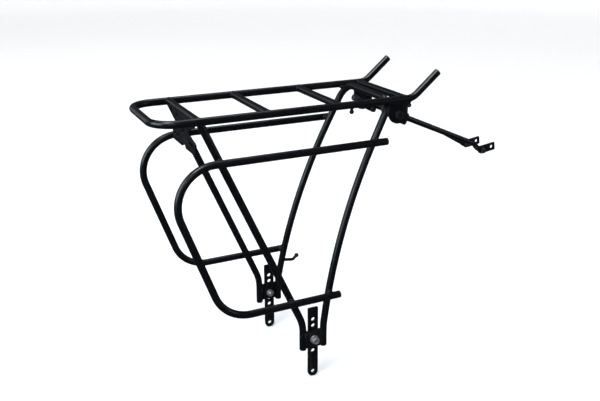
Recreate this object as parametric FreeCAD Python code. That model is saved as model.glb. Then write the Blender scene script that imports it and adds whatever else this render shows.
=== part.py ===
"""Bicycle rear rack: tubular deck and legs, pannier loops, height strips and adjustable stays.

Millimetres. +X points to the front of the bicycle, +Y to its left, +Z up.
The origin is midway between the two dropout eyelet holes, on their common axis.
Everything is built for the left side (+Y) and mirrored for the right.
"""

import FreeCAD
import Part

import math
import os

V = FreeCAD.Vector
X_AXIS = V(1, 0, 0)
Y_AXIS = V(0, 1, 0)
Z_AXIS = V(0, 0, 1)

# ---- overall sizes -------------------------------------------------------------------------
deck_height = 380.5         # deck tube centreline above the dropout eyelets
deck_width = 130.0          # between the centrelines of the deck's side rails
tail_x = -202.0             # centreline of the deck's rear bar
foot_width = 159.0          # between the centrelines of the left and right leg ends

# ---- tubing --------------------------------------------------------------------------------
tube_radius = 5.0
tube_wall = 1.0
bore_radius = tube_radius - tube_wall
plug_clearance = 0.05       # between a plug's stem and the tube bore, radial
plug_stem = 6.0             # how far a plug reaches into its tube
plug_head = 2.0             # how far a plug's domed head stands out
plug_edge_radius = 1.4

# ---- deck ----------------------------------------------------------------------------------
tail_corner_radius = 30.0
horn_bend_x = 158.0         # where the side rails turn up at the front
horn_bend_radius = 25.0
horn_angle = 40.0
horn_length = 50.0          # from the bend point to the open end
crossbar_x = {"tail": -147.5, "second": -55.0, "third": 46.0, "front": 147.0}

# ---- legs ----------------------------------------------------------------------------------
foot_half_length = 16.0     # leg ends sit this far in front of and behind the eyelets
leg_bottom_z = 41.0
rear_leg_top_x = -146.5
rear_leg_top_drop = 1.0     # below the deck, where the rear leg's centreline starts
rear_leg_corner_z = 80.0
rear_leg_corner_radius = 60.0
front_leg_corner_z = 71.0
front_leg_corner_radius = 100.0
front_leg_knee_drop = 169.8 # below the deck, where the leg's two directions would cross
front_leg_knee_back = 84.6  # behind the hoop's top bar
front_leg_knee_fill = 0.96  # share of the straight run below the knee that its long bend takes
hoop_top_x = 124.0
hoop_corner_radius = 24.0
hoop_rail_reach = 4.775     # a smaller reach sets the hoop's corners deeper into the rails

# ---- pannier loops -------------------------------------------------------------------------
loop_top_drop = 51.5        # below the deck, the top run
loop_bottom_z = 120.5
loop_top_gap = 4.8          # between the loop and the legs, at the top run
loop_bottom_gap = 3.4
loop_top_front_reach = 10.16     # of the top run's open end, in front of the front leg
loop_bottom_front_reach = 9.43
loop_top_rear_x = -206.0    # where the top run and the slanted run would cross
loop_bottom_rear_x = -132.5
loop_corner_radius = 51.0
spacer_radius = 4.0

# ---- feet and height strips ----------------------------------------------------------------
foot_plate_thickness = 3.0
foot_plate_offset = 0.5     # its inner face lies this far outboard of the leg centrelines
foot_plate_top_z = 68.0
foot_plate_lift = 0.5       # its lower edge, above the leg ends
plate_corner_radius = 2.0
round_end_share = 0.98      # corner radius of a plate's round end, as a share of its half width
strip_thickness = 3.0
strip_half_width = 7.6
strip_top_z = 102.0
strip_corner_radius = 1.5
hole_pitch = 10.0
height_hole_z = 34.0        # the lowest of the height holes
height_hole_count = 6
clamp_hole_index = 2        # the height hole that the bolt is in, counted from the lowest
eyelet_radius = 3.0
face_gap = 0.1              # between flat faces that move over each other

# ---- M6 fasteners --------------------------------------------------------------------------
running_clearance = 0.05    # radial, between a bolt and a piece that turns on it
m6_radius = eyelet_radius - running_clearance
m6_head_radius = 5.0
m6_head_height = 6.0
m6_key_flats = 5.0
m6_nut_flats = 10.0
m6_nut_height = 5.0
m6_washer_radius = 6.2
m6_washer_thickness = 1.6
socket_share = 0.55         # depth of a key socket, as a share of its head's height
head_edge_radius = 0.8
bolt_tail = 1.5             # bolt standing out past its nut
thread_gap = 0.03           # radial, between a bolt and its nut

# ---- stays ---------------------------------------------------------------------------------
bracket_y = 49.0            # mid-plane of each hanging bracket
bracket_thickness = 3.0
bracket_half_width = 15.0
bracket_centre_drop = 23.0  # below the deck, centre of the bracket's round end
bracket_rear_drop = 9.0     # below the deck, where its rear edge starts
bracket_front_drop = 6.0
bracket_weld_reach = 1.0    # how far its upper edge stands above the deck's centreline
bracket_bar_margin = 4.0    # in front of the front crossbar's centreline, at its upper edge
bracket_top_corner = 1.0
bracket_rear_corner = 6.0
bracket_front_corner = 4.0
stay_pivot_drop = 25.2      # below the deck, axis of the bracket's pivot hole
stay_pivot_x = 146.0
stay_angle = 23.5           # below horizontal
stay_radius = 4.0
stay_bore_gap = 0.05        # radial, between the stay and its clamp
stay_rear_reach = 22.0      # behind the pivot, along the stay
stay_bend_reach = 154.8     # in front of the pivot, along the stay
stay_inset = 20.0           # the stay's front end lies this much nearer the middle
stay_bend_radius = 14.0
stay_second_bend_radius = 6.0
stay_tip_reach = 193.2      # in front of the pivot, along the stay
stay_tip_drop = 4.3         # the tip's eye lies this far below the stay's line
stay_level_length = 12.3    # from the second bend's corner to the tip's eye
stay_tongue_thickness = 3.5
stay_tongue_radius = 5.6
stay_tongue_length = 7.5    # the flattened stretch behind the tip's eye
clamp_wall = 1.5            # of the clamp block, beside the stay
clamp_rear = 9.0            # clamp block, behind the pivot
clamp_front = 20.0          # clamp block, in front of the pivot
clamp_above = 6.5
clamp_below = 11.0
clamp_rear_below = 7.7
clamp_edge_radius = 3.5
clamp_kerf = 1.2
pinch_screw_forward = 13.0
pinch_screw_drop = 7.2
pinch_screw_radius = 2.0
pinch_head_radius = 3.5
pinch_head_height = 3.0
pinch_key_flats = 3.0
stay_cap_wall = 1.0
stay_cap_edge_radius = 1.5
stay_cap_length = 7.0

# ---- frame straps at the stay tips ---------------------------------------------------------
strap_thickness = 2.5
strap_half_width = 6.2
strap_hole_spacing = 19.0
strap_angle = 8.0           # above horizontal
strap_front_corner = 1.5
strap_hole_radius = 2.75
m5_clearance = 0.08         # radial, between the strap and its bolt
m5_radius = strap_hole_radius - m5_clearance
m5_head_radius = 4.25
m5_head_height = 3.0
m5_key_flats = 3.0
m5_nut_flats = 8.0
m5_nut_height = 4.0

# ---- rear light plate ----------------------------------------------------------------------
light_plate_thickness = 2.5
light_plate_drop = 48.0     # below the deck, its lower edge
light_top_half_width = 46.0
light_waist_half_width = 24.0
light_wing_half_width = 48.0
light_shoulder_drop = 12.0  # below the deck, where the plate starts to narrow
light_waist_drop = 20.0     # below the deck, upper end of the waist
light_waist_end_drop = 28.0
light_wing_drop = 32.5      # below the deck, upper corners of the wings
light_notch_half_width = 8.0
light_notch_depth = 4.0
light_hole_spacing = 50.0
light_hole_drop = 11.0
light_slot_spacing = 66.0
light_slot_drop = 37.5
light_slot_length = 20.0
light_centre_slot_drop = 24.0
light_centre_slot_length = 11.2
light_hole_radius = 2.6
light_top_corner = 1.0
light_shoulder_corner = 4.0
light_waist_corner = 5.0
light_waist_end_corner = 3.0
light_wing_top_corner = 4.0
light_wing_end_corner = 5.0
light_notch_corner = 3.0
light_notch_end_corner = 2.0

# ---- small fittings ------------------------------------------------------------------------
stud_x = (63.0, 153.0)
stud_stem_radius = 2.0
stud_ball_radius = 3.0
stud_drop = 9.5             # below the deck, centre of a stud's ball
hook_wire_radius = 2.4
hook_ball_radius = 3.5
hook_z = 106.0
hook_reach = (19.5, 26.0)   # in front of the leg: the lowest point and the ball
hook_dip = 3.0
hook_rise = 3.0
hook_bend_radius = 3.0


# ---- construction --------------------------------------------------------------------------
beyond = 1000.0             # further out than any piece, for cutting planes
in_plane = 0.01             # an edge this near a plane lies in it


# ---- geometry helpers ----------------------------------------------------------------------
def rounded_path(points, radii):
    """Straight runs through the points, joined by tangent arcs at the inner ones."""
    edges = []
    start = points[0]
    for before, corner, after, radius in zip(points, points[1:], points[2:], radii):
        back = (before - corner).normalize()
        ahead = (after - corner).normalize()
        half = back.getAngle(ahead) / 2
        reach = radius / math.tan(half)
        bisector = (back + ahead).normalize()
        centre = corner + bisector * (radius / math.sin(half))
        arc_start = corner + back * reach
        arc_end = corner + ahead * reach
        edges.append(Part.LineSegment(start, arc_start).toShape())
        edges.append(Part.Arc(arc_start, centre - bisector * radius, arc_end).toShape())
        start = arc_end
    edges.append(Part.LineSegment(start, points[-1]).toShape())
    return Part.Wire(edges)


def rod(points, radii, radius):
    """A solid round bar along a rounded path."""
    section = Part.Wire([Part.makeCircle(radius, points[0], points[1] - points[0])])
    return rounded_path(points, radii).makePipeShell([section], True, False)


def tube(points, radii):
    """A hollow frame tube along a rounded path."""
    return rod(points, radii, tube_radius).cut(rod(points, radii, bore_radius))


def cylinder(radius, start, end):
    return Part.makeCylinder(radius, (end - start).Length, start, end - start)


def across(radius, x, z, y_from, y_to):
    """A cylinder along Y."""
    return cylinder(radius, V(x, y_from, z), V(x, y_to, z))


def hexagon(flats, x, z, y_from, y_to):
    """A hexagonal prism along Y."""
    corner = flats / math.sqrt(3)
    turns = [math.radians(60 * i) for i in range(7)]
    points = [V(x + corner * math.cos(t), y_from, z + corner * math.sin(t)) for t in turns]
    return Part.Face(Part.makePolygon(points)).extrude(V(0, y_to - y_from, 0))


def plate(outline, offset, direction):
    """A flat plate: a closed outline of straight runs with rounded corners, given thickness.

    Each outline point is (position, corner radius).
    """
    points = [p for p, _ in outline]
    middle = (points[0] + points[-1]) * 0.5
    corners = [middle, *points, middle]
    radii = [r for _, r in outline]
    edges = []
    start = middle
    for before, corner, after, radius in zip(corners, corners[1:], corners[2:], radii):
        back = (before - corner).normalize()
        ahead = (after - corner).normalize()
        half = back.getAngle(ahead) / 2
        reach = radius / math.tan(half)
        bisector = (back + ahead).normalize()
        arc_middle = corner + bisector * (radius / math.sin(half) - radius)
        edges.append(Part.LineSegment(start, corner + back * reach).toShape())
        edges.append(Part.Arc(corner + back * reach, arc_middle, corner + ahead * reach).toShape())
        start = corner + ahead * reach
    edges.append(Part.LineSegment(start, middle).toShape())
    face = Part.Face(Part.Wire(edges))
    face.translate(offset)
    return face.extrude(direction)


def plug(end, outward):
    """A tube end plug: a stem in the bore and a low domed head as wide as the tube."""
    outward = V(outward).normalize()
    stem = cylinder(bore_radius - plug_clearance, end - outward * plug_stem, end)
    head = cylinder(tube_radius, end, end + outward * plug_head)
    rim = [e for e in head.Edges
           if (e.BoundBox.Center - end).dot(outward) > plug_head - in_plane]
    return stem.fuse(head.makeFillet(plug_edge_radius, rim)).removeSplitter()


def mirrored(shape):
    return shape.mirror(V(0, 0, 0), Y_AXIS)


# ---- centrelines ---------------------------------------------------------------------------
rail_y = deck_width / 2
foot_y = foot_width / 2

# The hoop's round corners rest against the rails: the less the legs splay, the more a corner
# cuts across, and the nearer the legs come to the rails.
leg_splay = math.atan2(foot_y - rail_y, deck_height - front_leg_corner_z)
corner_cut = hoop_corner_radius * (1 / math.sin(math.pi / 4 + leg_splay / 2) - 1)
leg_top_inset = 2 * tube_radius + hoop_rail_reach - math.sqrt(2) * corner_cut
leg_top_y = rail_y - leg_top_inset

horn_rise = V(math.cos(math.radians(horn_angle)), 0, math.sin(math.radians(horn_angle)))
horn_bend = V(horn_bend_x, rail_y, deck_height)
horn_end = horn_bend + horn_rise * horn_length


def flip(point):
    return V(point.x, -point.y, point.z)


def deck_path():
    tail_corner = V(tail_x, rail_y, deck_height)
    left = [horn_end, horn_bend, tail_corner]
    return left + [flip(p) for p in reversed(left)]


deck_radii = [horn_bend_radius, tail_corner_radius, tail_corner_radius, horn_bend_radius]


def leg_y_at(z):
    """Y of both legs' centrelines, between the feet's upper bends and the deck."""
    share = (deck_height - z) / (deck_height - front_leg_corner_z)
    return leg_top_y + (foot_y - leg_top_y) * share


def rear_leg_path():
    top = V(rear_leg_top_x, leg_top_y, deck_height - rear_leg_top_drop)
    corner = V(-foot_half_length, foot_y, rear_leg_corner_z)
    return [top, corner, V(-foot_half_length, foot_y, leg_bottom_z)]


knee_z = deck_height - front_leg_knee_drop
front_leg = [
    V(foot_half_length, foot_y, leg_bottom_z),
    V(foot_half_length, foot_y, front_leg_corner_z),
    V(hoop_top_x - front_leg_knee_back, leg_y_at(knee_z), knee_z),
    V(hoop_top_x, leg_top_y, deck_height),
]


def hoop_path():
    return front_leg + [flip(p) for p in reversed(front_leg)]


def half_angle(before, corner, after):
    return (before - corner).getAngle(after - corner) / 2


corner_reach = front_leg_corner_radius / math.tan(half_angle(*front_leg[:3]))
knee_run = (front_leg[2] - front_leg[1]).Length - corner_reach
knee_radius = front_leg_knee_fill * knee_run * math.tan(half_angle(*front_leg[1:]))
hoop_radii = [front_leg_corner_radius, knee_radius, hoop_corner_radius]
hoop_radii = hoop_radii + hoop_radii[::-1]


loop_top_z = deck_height - loop_top_drop
loop_top_y = leg_y_at(loop_top_z) + 2 * tube_radius + loop_top_gap
loop_bottom_y = leg_y_at(loop_bottom_z) + 2 * tube_radius + loop_bottom_gap


def point_at_height(wire, z):
    """The point of a leg's centreline at a height."""
    plane = Part.makePlane(2 * beyond, 2 * beyond, V(-beyond, -beyond, z))
    return wire.distToShape(plane)[1][0][0]


front_leg_line = rounded_path(front_leg, hoop_radii[:2])
rear_leg_line = rounded_path(rear_leg_path(), [rear_leg_corner_radius])


def loop_path():
    top_front_x = point_at_height(front_leg_line, loop_top_z).x + loop_top_front_reach
    bottom_front_x = point_at_height(front_leg_line, loop_bottom_z).x + loop_bottom_front_reach
    return [
        V(top_front_x, loop_top_y, loop_top_z),
        V(loop_top_rear_x, loop_top_y, loop_top_z),
        V(loop_bottom_rear_x, loop_bottom_y, loop_bottom_z),
        V(bottom_front_x, loop_bottom_y, loop_bottom_z),
    ]


loop_radii = [loop_corner_radius, loop_corner_radius]


# Outer envelopes, used to cope whatever is welded to each tube.
deck_solid = rod(deck_path(), deck_radii, tube_radius)
hoop_solid = rod(hoop_path(), hoop_radii, tube_radius)
rear_leg_solid = rod(rear_leg_path(), [rear_leg_corner_radius], tube_radius)
loop_solid = rod(loop_path(), loop_radii, tube_radius)


def crossbar_path(place):
    x = crossbar_x[place]
    return [V(x, rail_y, deck_height), V(x, -rail_y, deck_height)]


def bar_solid(place):
    """The outer envelope of one crossbar."""
    return cylinder(tube_radius, *crossbar_path(place))


# ---- deck ----------------------------------------------------------------------------------
def crossbar(place):
    return tube(crossbar_path(place), []).cut(deck_solid)


def strap_studs():
    """Ball-ended studs under one side rail, for an elastic strap."""
    studs = []
    for x in stud_x:
        foot = V(x, rail_y, deck_height)
        ball_centre = foot - Z_AXIS * stud_drop
        stem = cylinder(stud_stem_radius, ball_centre, foot)
        ball = Part.makeSphere(stud_ball_radius, ball_centre)
        studs.append(stem.fuse(ball).cut(deck_solid))
    return Part.makeCompound([s.Solids[0] for s in studs])


def light_plate():
    """The hanging plate behind the deck: two round holes above, a slot and two level slots."""

    def down(y, drop):
        return V(0, y, deck_height - drop)

    notch_drop = light_plate_drop - light_notch_depth
    half = [
        (down(light_top_half_width, 0), light_top_corner),
        (down(light_top_half_width, light_shoulder_drop), light_shoulder_corner),
        (down(light_waist_half_width, light_waist_drop), light_waist_corner),
        (down(light_waist_half_width, light_waist_end_drop), light_waist_end_corner),
        (down(light_wing_half_width, light_wing_drop), light_wing_top_corner),
        (down(light_wing_half_width, light_plate_drop), light_wing_end_corner),
        (down(light_notch_half_width, light_plate_drop), light_notch_corner),
        (down(light_notch_half_width / 2, notch_drop), light_notch_end_corner),
    ]
    outline = half + [(flip(p), r) for p, r in reversed(half)]
    x = crossbar_x["tail"] - light_plate_thickness / 2
    thickness = V(light_plate_thickness, 0, 0)
    shape = plate(outline, V(x, 0, 0), thickness)

    def slot(y, z, half_y, half_z):
        r = light_hole_radius
        ends = [V(x, y - half_y, z - half_z), V(x, y + half_y, z + half_z)]
        along = (ends[1] - ends[0]).normalize()
        side = along.cross(X_AXIS) * r
        corners = [ends[0] - side, ends[1] - side, ends[1] + side, ends[0] + side]
        web = Part.Face(Part.makePolygon(corners + corners[:1])).extrude(thickness)
        return web.fuse([cylinder(r, e, e + thickness) for e in ends])

    holes = []
    for side in (-1, 1):
        centre = V(x, side * light_hole_spacing / 2, deck_height - light_hole_drop)
        holes.append(cylinder(light_hole_radius, centre, centre + thickness))
        reach = light_slot_length / 2 - light_hole_radius
        holes.append(slot(side * light_slot_spacing / 2, deck_height - light_slot_drop, reach, 0))
    reach = light_centre_slot_length / 2 - light_hole_radius
    holes.append(slot(0, deck_height - light_centre_slot_drop, 0, reach))
    return shape.cut(holes).cut(bar_solid("tail"))


# ---- legs and loops ------------------------------------------------------------------------
def rear_leg():
    shape = tube(rear_leg_path(), [rear_leg_corner_radius])
    return shape.cut([deck_solid, bar_solid("tail")])


def front_hoop():
    return tube(hoop_path(), hoop_radii).cut(deck_solid)


def leg_plugs():
    ends = [V(x, foot_y, leg_bottom_z) for x in (-foot_half_length, foot_half_length)]
    return Part.makeCompound([plug(end, -Z_AXIS) for end in ends])


def loop_plugs():
    path = loop_path()
    return Part.makeCompound([plug(path[0], X_AXIS), plug(path[-1], X_AXIS)])


def loop_spacers():
    """Short round bars that stand the loop off the legs, one at each crossing."""
    spacers = []
    for z, y in ((loop_top_z, loop_top_y), (loop_bottom_z, loop_bottom_y)):
        for leg in (rear_leg_line, front_leg_line):
            start = point_at_height(leg, z)
            bar = cylinder(spacer_radius, start, V(start.x, y, z))
            spacers.append(bar.cut([rear_leg_solid, hoop_solid, loop_solid]).Solids[0])
    return Part.makeCompound(spacers)


def pannier_hook():
    """A ball-ended wire hook in front of the left front leg."""
    root = point_at_height(front_leg_line, hook_z)
    low = root + V(hook_reach[0], 0, -hook_dip)
    ball = root + V(hook_reach[1], 0, hook_rise)
    wire = rod([root, low, ball], [hook_bend_radius], hook_wire_radius)
    return wire.fuse(Part.makeSphere(hook_ball_radius, ball)).cut(hoop_solid)


# ---- feet ----------------------------------------------------------------------------------
clamp_z = height_hole_z + clamp_hole_index * hole_pitch
plate_inner_y = foot_y + foot_plate_offset
plate_outer_y = plate_inner_y + foot_plate_thickness
strip_outer_y = plate_inner_y - face_gap
strip_inner_y = strip_outer_y - strip_thickness


def foot_plate():
    half = foot_half_length
    low = leg_bottom_z + foot_plate_lift
    corners = [V(-half, 0, low), V(half, 0, low),
               V(half, 0, foot_plate_top_z), V(-half, 0, foot_plate_top_z)]
    outline = [(c, plate_corner_radius) for c in corners]
    shape = plate(outline, V(0, plate_inner_y, 0), V(0, foot_plate_thickness, 0))
    hole = across(eyelet_radius, 0, clamp_z, plate_inner_y, plate_outer_y)
    return shape.cut([rear_leg_solid, hoop_solid, hole])


def height_strip():
    round_end = across(strip_half_width, 0, 0, strip_inner_y, strip_outer_y)
    bar = Part.makeBox(2 * strip_half_width, strip_thickness, strip_top_z,
                       V(-strip_half_width, strip_inner_y, 0))
    corners = [e for e in bar.Edges if e.BoundBox.ZMin > strip_top_z - in_plane
               and e.BoundBox.XLength < strip_half_width]
    bar = bar.makeFillet(strip_corner_radius, corners)
    heights = [0.0] + [height_hole_z + i * hole_pitch for i in range(height_hole_count)]
    holes = [across(eyelet_radius, 0, z, strip_inner_y, strip_outer_y) for z in heights]
    return bar.fuse(round_end).removeSplitter().cut(holes)


def strip_washer():
    outer = plate_outer_y + m6_washer_thickness
    disc = across(m6_washer_radius, 0, clamp_z, plate_outer_y, outer)
    return disc.cut(across(eyelet_radius, 0, clamp_z, plate_outer_y, outer))


def socket_bolt(x, z, seat_y, head_y, tail_y, radius, head_radius, key_flats):
    """A socket head bolt along Y: the head from seat_y to head_y, the shank to tail_y."""
    head = across(head_radius, x, z, seat_y, head_y)
    lip = [e for e in head.Edges if abs(e.BoundBox.YMin - head_y) < in_plane
           and e.BoundBox.YLength < in_plane]
    head = head.makeFillet(head_edge_radius, lip)
    socket_y = head_y + socket_share * (seat_y - head_y)
    socket = hexagon(key_flats, x, z, socket_y, head_y)
    return head.fuse(across(radius, x, z, tail_y, seat_y)).cut(socket)


def nut(x, z, y_from, y_to, flats, radius):
    """A hexagon nut along Y with its corners turned down on the outer side."""
    body = hexagon(flats, x, z, y_from, y_to)
    way = 1 if y_to > y_from else -1
    height = abs(y_to - y_from)
    crown = Part.makeCone(flats / 2 + height, flats / 2, height, V(x, y_from, z), V(0, way, 0))
    return body.common(crown).cut(across(radius + thread_gap, x, z, y_from, y_to))


nut_seat_y = strip_inner_y - face_gap


def strip_bolt():
    seat = plate_outer_y + m6_washer_thickness
    tail = nut_seat_y - m6_nut_height - bolt_tail
    return socket_bolt(0, clamp_z, seat, seat + m6_head_height, tail,
                       m6_radius, m6_head_radius, m6_key_flats)


def strip_nut():
    return nut(0, clamp_z, nut_seat_y, nut_seat_y - m6_nut_height, m6_nut_flats, m6_radius)


# ---- stays ---------------------------------------------------------------------------------
stay_pivot_z = deck_height - stay_pivot_drop
bracket_inner_y = bracket_y - bracket_thickness / 2
bracket_outer_y = bracket_y + bracket_thickness / 2
clamp_thickness = 2 * (stay_radius + clamp_wall)
stay_y = bracket_inner_y - face_gap - clamp_thickness / 2
stay_front_y = stay_y - stay_inset
stay_pivot = V(stay_pivot_x, stay_y, stay_pivot_z)
stay_along = V(math.cos(math.radians(stay_angle)), 0, -math.sin(math.radians(stay_angle)))
stay_above = stay_along.cross(Y_AXIS)


def on_stay(forward, above, y):
    """A point measured from the pivot along and above the stay, at a given Y."""
    return V(stay_pivot.x, y, stay_pivot.z) + stay_along * forward + stay_above * above


stay_tip = on_stay(stay_tip_reach, -stay_tip_drop, stay_front_y)


def stay_bracket():
    """A plate hanging from the front crossbar and the top of the leg hoop."""
    end_z = deck_height - bracket_centre_drop
    low_z = end_z - bracket_half_width
    rear = stay_pivot_x - bracket_half_width
    front = stay_pivot_x + bracket_half_width
    top_z = deck_height + bracket_weld_reach
    round_end = round_end_share * bracket_half_width
    outline = [
        (V(hoop_top_x, 0, top_z), bracket_top_corner),
        (V(rear, 0, deck_height - bracket_rear_drop), bracket_rear_corner),
        (V(rear, 0, low_z), round_end),
        (V(front, 0, low_z), round_end),
        (V(front, 0, deck_height - bracket_front_drop), bracket_front_corner),
        (V(crossbar_x["front"] + bracket_bar_margin, 0, top_z), bracket_top_corner),
    ]
    shape = plate(outline, V(0, bracket_inner_y, 0), V(0, bracket_thickness, 0))
    hole = across(eyelet_radius, stay_pivot_x, stay_pivot_z, bracket_inner_y, bracket_outer_y)
    return shape.cut([hoop_solid, bar_solid("front"), hole])


def stay_clamp():
    """A split block round the stay, with the stud that goes through the bracket."""
    inner = stay_y - clamp_thickness / 2
    outline = [
        (on_stay(-clamp_rear, clamp_above, 0), clamp_edge_radius),
        (on_stay(clamp_front, clamp_above, 0), clamp_edge_radius),
        (on_stay(clamp_front, -clamp_below, 0), clamp_edge_radius),
        (on_stay(-clamp_rear, -clamp_rear_below, 0), clamp_edge_radius),
    ]
    block = plate(outline, V(0, inner, 0), V(0, clamp_thickness, 0))
    tail = bracket_outer_y + face_gap + m6_washer_thickness + m6_nut_height + bolt_tail
    stud = across(m6_radius, stay_pivot.x, stay_pivot.z, stay_y, tail)
    bore = cylinder(stay_radius + stay_bore_gap, on_stay(-2 * clamp_rear, 0, stay_y),
                    on_stay(2 * clamp_front, 0, stay_y))
    kerf = Part.makeBox(2 * (clamp_front + clamp_rear), clamp_kerf, 2 * clamp_below)
    kerf.translate(V(0, -clamp_kerf / 2, -2 * clamp_below))
    kerf.rotate(V(0, 0, 0), Y_AXIS, stay_angle)
    kerf.translate(on_stay(-2 * clamp_rear, 0, stay_y))
    hole_at = on_stay(pinch_screw_forward, -pinch_screw_drop, 0)
    hole = across(pinch_screw_radius + thread_gap, hole_at.x, hole_at.z,
                  inner, inner + clamp_thickness)
    return block.fuse(stud).cut([bore, kerf, hole])


def pinch_screw():
    at = on_stay(pinch_screw_forward, -pinch_screw_drop, 0)
    seat = stay_y - clamp_thickness / 2
    return socket_bolt(at.x, at.z, seat, seat - pinch_head_height, seat + clamp_thickness,
                       pinch_screw_radius, pinch_head_radius, pinch_key_flats)


def clamp_washer():
    start = bracket_outer_y + face_gap
    end = start + m6_washer_thickness
    disc = across(m6_washer_radius, stay_pivot.x, stay_pivot.z, start, end)
    return disc.cut(across(eyelet_radius, stay_pivot.x, stay_pivot.z, start, end))


def clamp_nut():
    start = bracket_outer_y + face_gap + m6_washer_thickness
    return nut(stay_pivot.x, stay_pivot.z, start, start + m6_nut_height, m6_nut_flats, m6_radius)


def stay_path():
    rear = on_stay(-stay_rear_reach, 0, stay_y)
    bend = on_stay(stay_bend_reach, 0, stay_y)
    level = stay_tip - stay_along * stay_level_length
    return [rear, bend, level, stay_tip - stay_along * stay_tongue_length]


def stay():
    """A round bar with a sideways set near its front and a flattened, drilled tip."""
    path = stay_path()
    bar = rod(path, [stay_bend_radius, stay_second_bend_radius], stay_radius)
    inner = stay_front_y - stay_tongue_thickness / 2
    outer = stay_front_y + stay_tongue_thickness / 2
    eye = across(stay_tongue_radius, stay_tip.x, stay_tip.z, inner, outer)
    back = path[-1] - stay_along * (stay_tongue_length / 4)
    up = stay_above * stay_tongue_radius
    narrow = stay_above * stay_radius
    corners = [back - narrow, stay_tip - up, stay_tip + up, back + narrow]
    corners = [V(c.x, inner, c.z) for c in corners]
    web = Part.Face(Part.makePolygon(corners + corners[:1]))
    web = web.extrude(V(0, stay_tongue_thickness, 0))
    hole = across(m5_radius + thread_gap, stay_tip.x, stay_tip.z, inner, outer)
    return bar.fuse([eye, web]).cut(hole)


def stay_cap():
    """A soft cap over the stay's rear end."""
    end = stay_path()[0]
    mouth = end + stay_along * stay_cap_length
    shell = cylinder(stay_radius + stay_cap_wall, end - stay_along * stay_cap_wall, mouth)
    rim = [e for e in shell.Edges if (e.BoundBox.Center - end).dot(stay_along) < 0]
    shell = shell.makeFillet(stay_cap_edge_radius, rim)
    return shell.cut(cylinder(stay_radius, end, mouth))


strap_outer_y = stay_front_y - stay_tongue_thickness / 2 - face_gap
strap_inner_y = strap_outer_y - strap_thickness
strap_turn = math.radians(strap_angle)
strap_hole = stay_tip + V(math.cos(strap_turn), 0, math.sin(strap_turn)) * strap_hole_spacing


def stay_strap():
    """The flat strap that bolts to the bicycle frame's boss."""
    along = V(math.cos(strap_turn), 0, math.sin(strap_turn)) * strap_half_width
    up = V(-math.sin(strap_turn), 0, math.cos(strap_turn)) * strap_half_width
    rear = V(stay_tip.x, 0, stay_tip.z) - along
    front = V(strap_hole.x, 0, strap_hole.z) + along
    round_end = round_end_share * strap_half_width
    outline = [
        (rear - up, round_end),
        (front - up, strap_front_corner),
        (front + up, strap_front_corner),
        (rear + up, round_end),
    ]
    shape = plate(outline, V(0, strap_inner_y, 0), V(0, strap_thickness, 0))
    holes = [across(strap_hole_radius, p.x, p.z, strap_inner_y, strap_outer_y)
             for p in (stay_tip, strap_hole)]
    return shape.cut(holes)


def strap_bolt():
    seat = stay_front_y + stay_tongue_thickness / 2
    tail = strap_inner_y - face_gap - m5_nut_height - bolt_tail
    return socket_bolt(stay_tip.x, stay_tip.z, seat, seat + m5_head_height, tail,
                       m5_radius, m5_head_radius, m5_key_flats)


def strap_nut():
    start = strap_inner_y - face_gap
    return nut(stay_tip.x, stay_tip.z, start, start - m5_nut_height, m5_nut_flats, m5_radius)


# ---- assembly ------------------------------------------------------------------------------
single = {
    "platform_tube": tube(deck_path(), deck_radii),
    "front_leg_hoop": front_hoop(),
    "light_plate": light_plate(),
    "pannier_hook_left": pannier_hook(),
}
for place in crossbar_x:
    single[f"crossbar_{place}"] = crossbar(place)

left_side = {
    "platform_plug": plug(horn_end, horn_rise),
    "strap_studs": strap_studs(),
    "rear_leg": rear_leg(),
    "leg_plugs": leg_plugs(),
    "pannier_loop": tube(loop_path(), loop_radii),
    "loop_plugs": loop_plugs(),
    "loop_spacers": loop_spacers(),
    "foot_plate": foot_plate(),
    "height_strip": height_strip(),
    "strip_bolt": strip_bolt(),
    "strip_washer": strip_washer(),
    "strip_nut": strip_nut(),
    "stay_bracket": stay_bracket(),
    "stay_clamp": stay_clamp(),
    "pinch_screw": pinch_screw(),
    "clamp_washer": clamp_washer(),
    "clamp_nut": clamp_nut(),
    "stay": stay(),
    "stay_cap": stay_cap(),
    "stay_strap": stay_strap(),
    "strap_bolt": strap_bolt(),
    "strap_nut": strap_nut(),
}

nodes = dict(single)
for name, shape in left_side.items():
    nodes[f"{name}_left"] = shape
    nodes[f"{name}_right"] = mirrored(shape)

os.makedirs("parts", exist_ok=True)
for name, shape in nodes.items():
    if not shape.isValid() or any(solid.Volume <= 0 for solid in shape.Solids):
        print("check this solid:", name)
    shape.exportStep(f"parts/{name}.step")
    print(f"{name}: {len(shape.Solids)} solid(s), {shape.Volume / 1000:.2f} cm3")
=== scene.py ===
"""Looks of a tubular bicycle rear rack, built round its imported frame.

Sizes are in millimetres until a skin becomes an object, which is in metres. +X is the front of
the bicycle, +Y its left and +Z up. Pairs are worked out on the left and reflected to the right.
"""

import logging
import math
from dataclasses import dataclass, field
from enum import Enum
from typing import Callable, Sequence

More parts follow.
